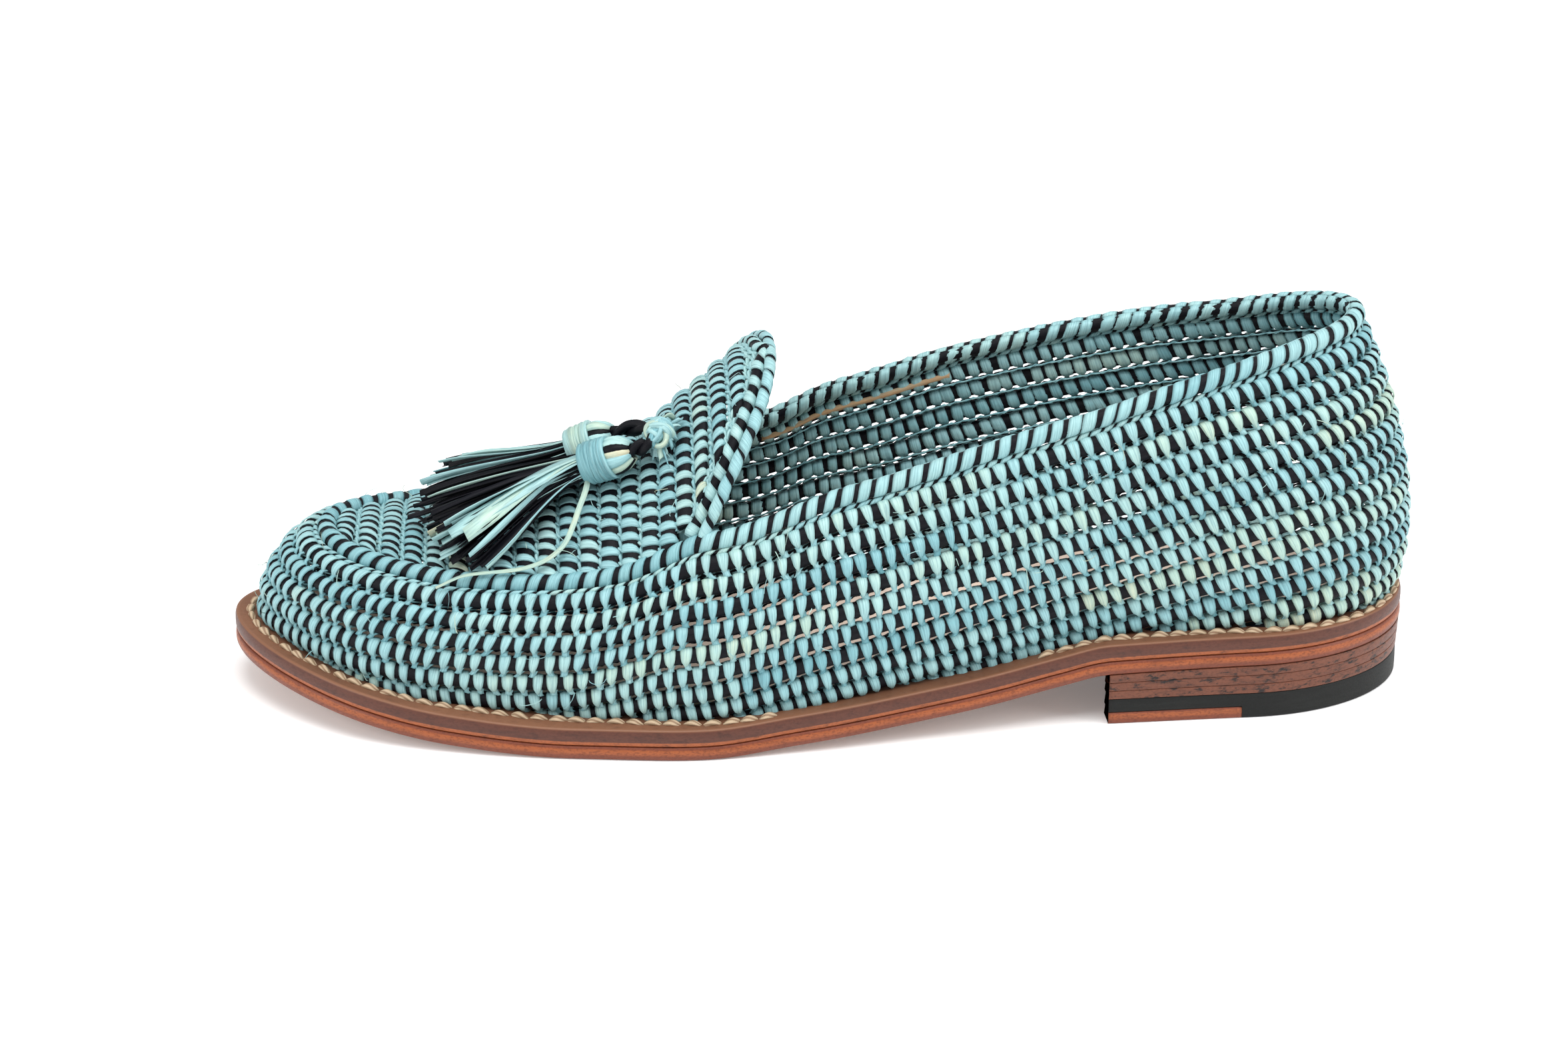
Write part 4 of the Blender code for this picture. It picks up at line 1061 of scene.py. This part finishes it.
def welt_rope():
    """The stitch line: the sole's outline moved in to stand just outside the upper's wall."""
    along = outline(SOLE_PLAN, SOLE_ROUNDS, TURNS)[:, 0]
    edge = sole_edge(TURNS, np.clip(read(WELT_MARGIN, "width", along) - WELT_INSET, 0.0012, None))
    point = placed(np.concatenate([edge, welt_height(edge[:, :1])], -1))
    up = np.tile(UP, (len(point), 1))
    return Rope(point, unit(np.cross(np.gradient(point, axis=0), up)), up, True)


def thread_stitches(rope):
    """Arches: half-length 0.47 pitch, thickness sin(pi w)^0.4 and a rise of sin(pi w), a share w along."""
    count = round(rope.length / WELT_PITCH)
    pitch = rope.length / count
    way = np.linspace(0, 1, 9)
    start = (np.arange(count) + rng.uniform(-0.06, 0.06, count)) * pitch
    along = rope.at(start)[0][:, 0] + ORIGIN_ALONG
    start = start[(along < WAIST[0]) | (along > WAIST[1])]
    each = (len(start), 1, 1)
    point, _, down, out = rope.at(start[:, None] + (way - 0.5) * 0.94 * pitch)
    arch = np.sin(math.pi * np.clip(way, 0.03, 0.97))[None, :, None]
    slant = (way - 0.5)[None, :, None] * rng.normal(0, 0.0005, each)
    point = point + out * (0.00055 * arch - 0.0002) + down * slant
    angle = tube_angles(7)[:, None]
    spokes = 1.2 * np.cos(angle) * down[:, :, None] + np.sin(angle) * out[:, :, None]
    girth = THREAD_RADIUS * arch**0.4 * rng.uniform(0.88, 1.1, each)
    return point[:, :, None] + spokes * girth[..., None]


stitching = Bundle()
rings = thread_stitches(welt_rope())
stitching.add(rings, 0.5, WELT_PITCH, WELT_PITCH)
stitching.piece("welt_stitches", waxed_thread("cream_thread"), "welt_leather")
print(len(rings), "welt stitches")

# %% [markdown]
# ## The tassels
# Two tassels hang from a knot on the apron. Each is a bundle of strips folded over a cord loop, bound with a
# blue band and cut off in a fan. The tables give the two ends of each head, the groups of strips in each fan
# with the places between which they end, and the path of the one strip that has slipped out of its band.

# %% Tables of the tassels
HEAD_RADIUS, KNOT_RADIUS = 0.0041, 0.0027
KNOT_PLACE = (0.1007, -0.36)
HEADS = {
    "lateral": columns("along share lift", ((0.0952, -0.39, 0.0046), (0.0838, -0.29, 0.0046))),
    "medial": columns("along share lift", ((0.0908, -0.13, 0.0046), (0.0812, -0.05, 0.0046))),
}
FANS = {
    "lateral": columns("count share share_end along along_end lift lift_end width width_end dark", (
        (74, -0.10, -0.86, 0.0460, 0.0530, 0.0004, 0.0068, 0.0009, 0.0023, 1),
        (24, -0.74, -1.00, 0.0490, 0.0570, 0.0004, 0.0034, 0.0008, 0.0020, 1),
        (7, -0.14, -0.90, 0.0480, 0.0550, 0.0010, 0.0072, 0.0008, 0.0022, 0),
        (5, -0.72, -0.80, 0.0505, 0.0540, 0.0064, 0.0078, 0.0030, 0.0044, 0),
        (4, -0.58, -0.76, 0.0468, 0.0490, 0.0020, 0.0036, 0.0026, 0.0036, 0),
        (4, -0.88, -0.98, 0.0500, 0.0560, 0.0006, 0.0022, 0.0012, 0.0026, 0))),
    "medial": columns("count share share_end along along_end lift lift_end width width_end dark", (
        (58, 0.06, 0.78, 0.0465, 0.0535, 0.0004, 0.0066, 0.0007, 0.0018, 1),
        (15, 0.10, 0.80, 0.0465, 0.0535, 0.0010, 0.0074, 0.0008, 0.0022, 0),
        (8, 0.12, 0.24, 0.0430, 0.0500, 0.0060, 0.0078, 0.0010, 0.0024, 0),
        (6, 0.14, 0.26, 0.0520, 0.0575, 0.0085, 0.0108, 0.0008, 0.0018, 0),
        (5, 0.12, 0.24, 0.0490, 0.0540, 0.0075, 0.0092, 0.0010, 0.0024, 1))),
}
LOOSE_STRAND = columns("along share lift", (
    (0.0846, -0.30, 0.0040), (0.0834, -0.42, 0.0030), (0.0808, -0.57, 0.0020), (0.0765, -0.80, 0.0012),
    (0.0715, -0.90, 0.0010), (0.0665, -0.955, 0.0012)))
HEAD = columns("way radius", (
    (0.0, 0.45), (0.16, 0.85), (0.34, 1.0), (0.5, 0.95), (0.66, 0.9), (0.84, 0.92), (1.0, 0.74)))
print("strips in the fans:", {side: int(groups["count"].sum()) for side, groups in FANS.items()})

# %% [markdown]
# ## Ribbons
# A strip is a flat ribbon with a fold along it, carried on a Bezier curve from the band to its end over the
# apron. Every point is lifted clear of the rows below it, so the fan lies on them.

# %% Ribbons
def ribbons(path, across, width, thick, fold, loop=False):
    """Ribbon rings: six points round each section, the middle pair raised by the fold.

    path and across are (ribbons, steps, 3); width, thick and fold broadcast to (ribbons, steps).
    """
    run = np.roll(path, -1, 1) - np.roll(path, 1, 1)
    if not loop:
        run[:, 0], run[:, -1] = path[:, 1] - path[:, 0], path[:, -1] - path[:, -2]
    normal = unit(np.cross(unit(run), across))
    width, thick, fold = (np.broadcast_to(size, path.shape[:2]) for size in (width, thick, fold))
    side = np.array([-1.0, 0.0, 1.0, 1.0, 0.0, -1.0]) * width[..., None] / 2
    rise = np.stack([0 * fold, fold, 0 * fold, -thick, fold - thick, -thick], -1)
    return path[:, :, None] + across[:, :, None] * side[..., None] + normal[:, :, None] * rise[..., None]


def clear_of_apron(path, above):
    """The path with every point at least this far above the crests of the apron's rows."""
    along = np.clip(path[..., 0] + ORIGIN_ALONG, RIM_PLAN["along"][0] + 0.001, TONGUE_TIP)
    outer, inner = (placed(edge) for edge in apron_edges(along))
    share = (2 * path[..., 1] - outer[..., 1] - inner[..., 1]) / (inner[..., 1] - outer[..., 1])
    floor = apron_point(along, np.clip(share, -1, 1))[..., 2] + ROW_THICK * 0.6 + above
    path = path.copy()
    path[..., 2] = np.maximum(path[..., 2], floor)
    return path


def tassel_axes(side):
    """The head's two ends and three unit vectors: along the head, sideways and up."""
    table = HEADS[side]
    top, bottom = over_apron(table["along"], table["share"], table["lift"])
    axis = unit(bottom - top)
    sideways = unit(np.cross(axis, UP))
    return top, bottom, axis, sideways, np.cross(sideways, axis)


def head_strips(side, count):
    """Strips over the head: way w runs down the axis, and the strip keeps its angle at the head's radius."""
    top, bottom, _, sideways, up = tassel_axes(side)
    way = np.linspace(0, 1, 12)
    angle = 2 * math.pi * (np.arange(count) + rng.uniform(-0.25, 0.25, count))[:, None, None] / count
    angle = angle + rng.uniform(-0.3, 0.3, (count, 1, 1)) * way[None, :, None]
    radius = (HEAD_RADIUS * read(HEAD, "radius", way))[None, :, None] * rng.uniform(0.95, 1.04, (count, 1, 1))
    spoke = np.cos(angle) * sideways + np.sin(angle) * up
    path = top + (bottom - top) * way[None, :, None] + radius * spoke
    across = np.broadcast_to(-np.sin(angle) * sideways + np.cos(angle) * up, path.shape)
    return ribbons(path, across, 2.6 * math.pi * radius[..., 0] / count, 0.0009, 0.0004)


def band_turns(side, count):
    """The band: closed rings round the head, each a little tilted, from half its length to its end."""
    top, bottom, axis, sideways, up = tassel_axes(side)
    way = np.linspace(0.50, 0.98, count)
    angle = np.linspace(0, 2 * math.pi, 25)[:-1][None, :, None]
    radius = HEAD_RADIUS * read(HEAD, "radius", way) + 0.0003
    radius = radius[:, None, None] * rng.uniform(0.98, 1.06, (count, 1, 1))
    tilt = 0.0008 * np.cos(angle + rng.uniform(-0.7, 0.7, (count, 1, 1)))
    spoke = np.cos(angle) * sideways + np.sin(angle) * up
    path = (top + (bottom - top) * way[:, None])[:, None] + radius * spoke + axis * tilt
    across = np.broadcast_to(axis, path.shape)
    return ribbons(path, across, rng.uniform(0.0011, 0.0017, (count, 1)), 0.0009, 0.00025, loop=True)


def fan(side, group):
    """One group of skirt strips: Bezier curves from the band to ends spread between two places.

    A strip that ends further in starts further in, and one that ends higher starts higher.
    """
    _, bottom, axis, sideways, up = tassel_axes(side)
    count = int(group["count"])
    way = np.linspace(0, 1, 13)

    def chosen(name):
        """A random value for each strip, between the group's two."""
        return rng.uniform(group[name], group[name + "_end"], count)

    share = np.linspace(group["share"], group["share_end"], count) + rng.normal(0, 0.025, count)
    along = np.linspace(group["along"], group["along_end"], count) + rng.normal(0.0004, 0.0024, count)
    lift = chosen("lift")
    end = over_apron(along, np.clip(share, -0.97, 0.97), lift)
    whole = FANS[side]["share"][0], FANS[side]["share_end"][0]
    inward = 2 * np.clip((share - min(whole)) / abs(whole[1] - whole[0]), 0, 1)[:, None] - 1
    high = np.clip(lift / 0.0080, 0, 1)[:, None] * 2 - 1
    start = bottom - axis * 0.0015 + sideways * inward * 0.0026 + up * high * 0.0026
    away = unit(end - start)
    bend = start + axis * rng.uniform(0.007, 0.012, (count, 1)) + sideways * inward * 0.0016
    late = end - away * rng.uniform(0.010, 0.016, (count, 1)) + up * rng.uniform(0, 0.0016, (count, 1))
    path = clear_of_apron(bezier((start, bend, late, end), len(way)), 0.0003 + 0.6 * lift[:, None])
    roll = rng.normal(0, 0.4, (count, 1, 1)) + rng.normal(0, 0.7, (count, 1, 1)) * way[:, None]
    flat = unit(np.cross(np.gradient(path, axis=1), up))
    across = unit(flat * np.cos(roll) + up * np.sin(roll))
    grow = np.interp(way, [0, 0.3, 1], [0.6, 0.92, 1.05])
    frayed = np.interp(way, [0.8, 1], [0.0, 1.0]) * rng.uniform(0.0, 0.75, (count, 1))
    width = chosen("width")[:, None] * grow * (1 - frayed)
    return ribbons(path, across, width, 0.00022, width * rng.normal(0, 0.22, (count, 1)))


def through(points, count):
    """A smooth line through points, each coordinate a monotone cubic of the running length."""
    run = np.concatenate([[0], np.cumsum(np.linalg.norm(np.diff(points, axis=0), axis=1))])
    at = np.linspace(0, run[-1], count)
    return np.stack([smooth(at, run, column) for column in points.T], -1)


def loose_strand():
    """The strip that has slipped out of the band: over the apron, over the seam and down onto the wall."""
    lying = over_apron(*LOOSE_STRAND.values())
    point, _, out = on_wall(np.array([0.245, 0.228]), np.array([0.0012, 0.0046]))
    path = through(np.concatenate([lying, point + out * 0.0033]), 40)[None]
    flat = unit(np.cross(np.gradient(path, axis=1), [0.0, -0.35, 1.0]))
    width = 0.0013 * np.interp(np.linspace(0, 1, 40), [0, 0.1, 0.6, 1], [0.7, 1.0, 0.9, 0.5])
    return ribbons(path, flat, width[None], 0.0002, 0.25 * width[None])


print("tassel heads in mm:", [round(float(np.ptp(HEADS[side]["along"]) * 1000), 1) for side in HEADS])

# %% [markdown]
# ## The two tassels
# The heads, bands and fans of both tassels go into two bundles, one of turquoise strips and one of black. The
# outer tassel's band is a deeper blue than the inner one's.

# %% Tassels
HEAD_STRIPS, BAND_TURNS = 13, 8
strips = {"turquoise": Bundle(), "black": Bundle()}
for side, groups in FANS.items():
    rings = head_strips(side, HEAD_STRIPS)
    dark = np.arange(HEAD_STRIPS) % 4 == 1
    strips["turquoise"].add(rings[~dark], dyes((~dark).sum(), 0.68, 0.12, 0.1), 0.016, 0.002)
    strips["black"].add(rings[dark], 0.4, 0.016, 0.002)
    tint = 0.33 if side == "lateral" else 0.64
    rings = band_turns(side, BAND_TURNS)
    strips["turquoise"].add(rings, dyes(BAND_TURNS, tint, 0.06, 0), 0.026, 0.0016, loop=True)
    for row in zip(*groups.values()):
        group = dict(zip(groups, row))
        rings = fan(side, group)
        if group["dark"]:
            strips["black"].add(rings, rng.uniform(0.2, 0.7, len(rings)), 0.042, 0.003)
        else:
            tint = 0.74 if group["width"] > 0.0025 else 0.58
            strips["turquoise"].add(rings, dyes(len(rings), tint, 0.08, 0.04), 0.042, 0.003)
strips["turquoise"].add(loose_strand(), 0.80, 0.075, 0.003)
strips["turquoise"].piece("tassel_strips", turquoise, "raffia", "tassel_lateral", "tassel_medial")
strips["black"].piece("tassel_black_strips", black, "cord_raffia", "tassel_lateral", "tassel_medial")

# %% [markdown]
# ## Knot and cords
# The tassels hang on two loops of twisted black cord, tied down by a raffia knot. The knot is a ball of
# strips wound in several directions, so it is made of closed ribbons round circles of one ellipsoid, and
# short loose ends arch from it to the apron.

# %% Knot and cords
def knot_loops(centre, count):
    """Ribbons round circles of an ellipsoid: offset d along a tilted axis, radius sqrt(R^2 - d^2)."""
    tilt = rng.uniform(-1, 1, (count, 3)) + np.array([0.0, 1.6, 0.0]) * (np.arange(count) % 2)[:, None]
    pole = unit(tilt)
    first = unit(np.cross(pole, [0.31, 0.17, 0.93]))
    second = np.cross(pole, first)
    offset = rng.uniform(-0.6, 0.6, (count, 1, 1)) * KNOT_RADIUS
    angle = np.linspace(0, 2 * math.pi, 25)[:-1][None, :, None]
    circle = np.cos(angle) * first[:, None] + np.sin(angle) * second[:, None]
    ball = offset * pole[:, None] + np.sqrt(KNOT_RADIUS**2 - offset**2) * circle
    size = 1 + rng.uniform(-0.15, 0.30, (count, 1, 1))
    wobble = 0.16 * np.sin(2 * angle + rng.uniform(0, 6, (count, 1, 1)))
    path = centre + ball * (size + wobble) * np.array([1.0, 1.15, 0.92])
    across = np.broadcast_to(pole[:, None], path.shape)
    return ribbons(path, across, rng.uniform(0.0010, 0.0022, (count, 1)), 0.0008, 0.0004, loop=True)


def knot_ends(centre, count):
    """Short strips from inside the knot to places round it on the apron, on Bezier curves that arch up."""
    around = 2 * math.pi * (np.arange(count) + rng.uniform(-0.3, 0.3, count)) / count
    reach = rng.uniform(0.0030, 0.0068, count)
    along = KNOT_PLACE[0] + 0.62 * reach * np.cos(around)
    share = KNOT_PLACE[1] + reach * np.sin(around) / 0.031
    end = over_apron(along, share, rng.uniform(0.0003, 0.0012, count))
    start = centre + rng.uniform(-0.0012, 0.0012, (count, 3))
    rise = UP * rng.uniform(0.0, 0.0034, (count, 1))
    path = bezier((start, start * 0.55 + end * 0.45 + rise, start * 0.2 + end * 0.8 + rise * 0.6, end), 10)
    flat = unit(np.cross(np.gradient(path, axis=1), UP) + rng.normal(0, 0.002, (count, 1, 3)))
    width = rng.uniform(0.0014, 0.0028, (count, 1)) * np.linspace(1.0, 0.75, 10)
    return ribbons(path, flat, width, 0.0003, 0.3 * width)


KNOT_LOOPS, KNOT_ENDS, CORD_RADIUS, CORD_LAY = 14, 18, 0.00112, 0.0105
knot_centre = over_apron(*KNOT_PLACE, KNOT_RADIUS + SEAT_GAP)
knot = Bundle()
rings = knot_loops(knot_centre, KNOT_LOOPS)
knot.add(rings, dyes(KNOT_LOOPS, 0.46, 0.12, 0.03), 0.026, 0.003, loop=True)
rings = knot_ends(knot_centre, KNOT_ENDS)
knot.add(rings, dyes(KNOT_ENDS, 0.50, 0.12, 0.04), 0.010, 0.003)
knot.piece("tassel_knot_strips", turquoise, "raffia", "tassel_knot")
for side in HEADS:
    top, _, axis, _, up = tassel_axes(side)
    toward = unit(top - axis * 0.0035 - knot_centre)
    corners = [knot_centre + toward * KNOT_RADIUS * 0.7, knot_centre + toward * 0.006 + up * 0.0015,
               top - axis * 0.0045, top + axis * 0.002]
    path = bezier([corner[None] for corner in corners], 40)[0]
    lifted = np.broadcast_to(up, path.shape)
    rope = Rope(path, unit(np.cross(np.gradient(path, axis=0), lifted)), lifted, False)
    cord = Bundle()
    rings = twisted(rope, CORD_RADIUS, CORD_LAY, sides=8, step=0.0005)
    cord.add(rings, [0.35, 0.5], rope.length, 0.006)
    cord.piece("cord_loop_" + side, black, "cord_raffia", "tassel_cord_" + side)

# %% [markdown]
# ## Stray fibres
# Raffia splits, so a few fine threads stand off any woven piece. Each is a hair-thin ribbon on a Bezier curve
# that leaves a stitch, bends over and ends in the air a few millimetres away.

# %% Stray fibres
def frays(start, out, along, count):
    """Threads from these points: they lean a random way between along, against it, and out of the surface."""
    aside = np.cross(out, along)
    turn = rng.uniform(0, 2 * math.pi, (count, 1))
    lean = unit(np.cos(turn) * along + np.sin(turn) * aside + out * rng.uniform(0.1, 0.7, (count, 1)))
    reach = rng.uniform(0.0015, 0.0055, (count, 1))
    end = start + lean * reach
    bend = rng.normal(0, 0.25, (count, 3)) * reach
    path = bezier((start, start + out * reach * 0.3, end - lean * reach * 0.4 + bend, end), 7)
    flat = unit(np.cross(np.gradient(path, axis=1), out[:, None] + 0.3))
    width = rng.uniform(0.00010, 0.00022, (count, 1)) * np.linspace(1.0, 0.5, 7)
    return ribbons(path, flat, width, 0.00008, 0.0)


WALL_FRAYS, APRON_FRAYS, FRAY_ROOT = 110, 40, 0.0021
threads = Bundle()
point, down, out = on_wall(rng.uniform(0, 2, WALL_FRAYS), rng.uniform(0.002, 0.034, WALL_FRAYS))
rings = frays(point + out * FRAY_ROOT, out, np.cross(out, down), WALL_FRAYS)
threads.add(rings, dyes(WALL_FRAYS, 0.66, 0.1, 0.2), 0.004, 0.001)
place, share = rng.uniform(0.035, 0.118, APRON_FRAYS), rng.uniform(-0.9, 0.9, APRON_FRAYS)
point, heelward, normal = on_apron(place, share)
rings = frays(point + normal * FRAY_ROOT, normal, heelward, APRON_FRAYS)
threads.add(rings, dyes(APRON_FRAYS, 0.66, 0.1, 0.2), 0.004, 0.001)
threads.piece("stray_fibres", turquoise, "raffia")

# %% [markdown]
# ## Floor, light and camera
# A pale floor runs out of the picture, and large soft lamps stand overhead and at both sides, as in a studio.
# The camera was fitted to the sole's edges in the photograph: a long lens, 23 degrees above the floor.

# %% Floor, light and camera
FLOOR_HALF, FLOOR_DROP = 6.0, 0.0001
square = [(x * FLOOR_HALF, y * FLOOR_HALF, -FLOOR_DROP) for x, y in ((-1, -1), (1, -1), (1, 1), (-1, 1))]
floor_mesh = bpy.data.meshes.new("floor")
floor_mesh.from_pydata(square, [], [(0, 1, 2, 3)])
floor = bpy.data.objects.new("floor", floor_mesh)
bpy.context.scene.collection.objects.link(floor)
pale, shader, _ = new_finish("pale_floor")
shader.inputs["Base Color"].default_value = (0.93, 0.93, 0.93, 1)
shader.inputs["Roughness"].default_value = 0.9
shader.inputs["Emission Color"].default_value = (1, 1, 1, 1)
shader.inputs["Emission Strength"].default_value = 0.14
floor_mesh.materials.append(pale)

world = bpy.data.worlds.new("studio")
world.use_nodes = True
sky = world.node_tree.nodes["Background"]
sky.inputs["Color"].default_value = (1, 1, 1, 1)
sky.inputs["Strength"].default_value = 0.62
bpy.context.scene.world = world

LAMPS = (("overhead", (0.05, -0.25, 1.1), 0.9, 12.0), ("toe_side", (-1.0, -0.5, 0.55), 0.6, 5.0),
         ("heel_side", (1.0, -0.35, 0.6), 0.6, 6.0))
for name, place, size, power in LAMPS:
    lamp = bpy.data.lights.new(name, "AREA")
    lamp.size, lamp.energy = size, power
    made = bpy.data.objects.new(name, lamp)
    made.location = place
    made.rotation_euler = (Vector((0, 0, 0.04)) - Vector(place)).to_track_quat("-Z", "Y").to_euler()
    bpy.context.scene.collection.objects.link(made)

AIM, AZIMUTH, ELEVATION, DISTANCE = Vector((-0.0090, -0.0003, 0.0387)), -2.4, 23.0, 1.1
SENSOR, PIXELS_PER_METRE, PHOTO_WIDTH = 36.0, 6598, 2353
side, rise = math.radians(AZIMUTH), math.radians(ELEVATION)
back = Vector((math.sin(side) * math.cos(rise), -math.cos(side) * math.cos(rise), math.sin(rise)))
lens = bpy.data.cameras.new("camera")
lens.sensor_width, lens.lens = SENSOR, SENSOR * PIXELS_PER_METRE * DISTANCE / PHOTO_WIDTH
camera = bpy.data.objects.new("camera", lens)
camera.location = AIM + back * DISTANCE
camera.rotation_euler = (-back).to_track_quat("-Z", "Y").to_euler()
bpy.context.scene.collection.objects.link(camera)
bpy.context.scene.camera = camera
bpy.context.scene.view_settings.view_transform = "Standard"
print("lens in mm:", round(lens.lens, 1))
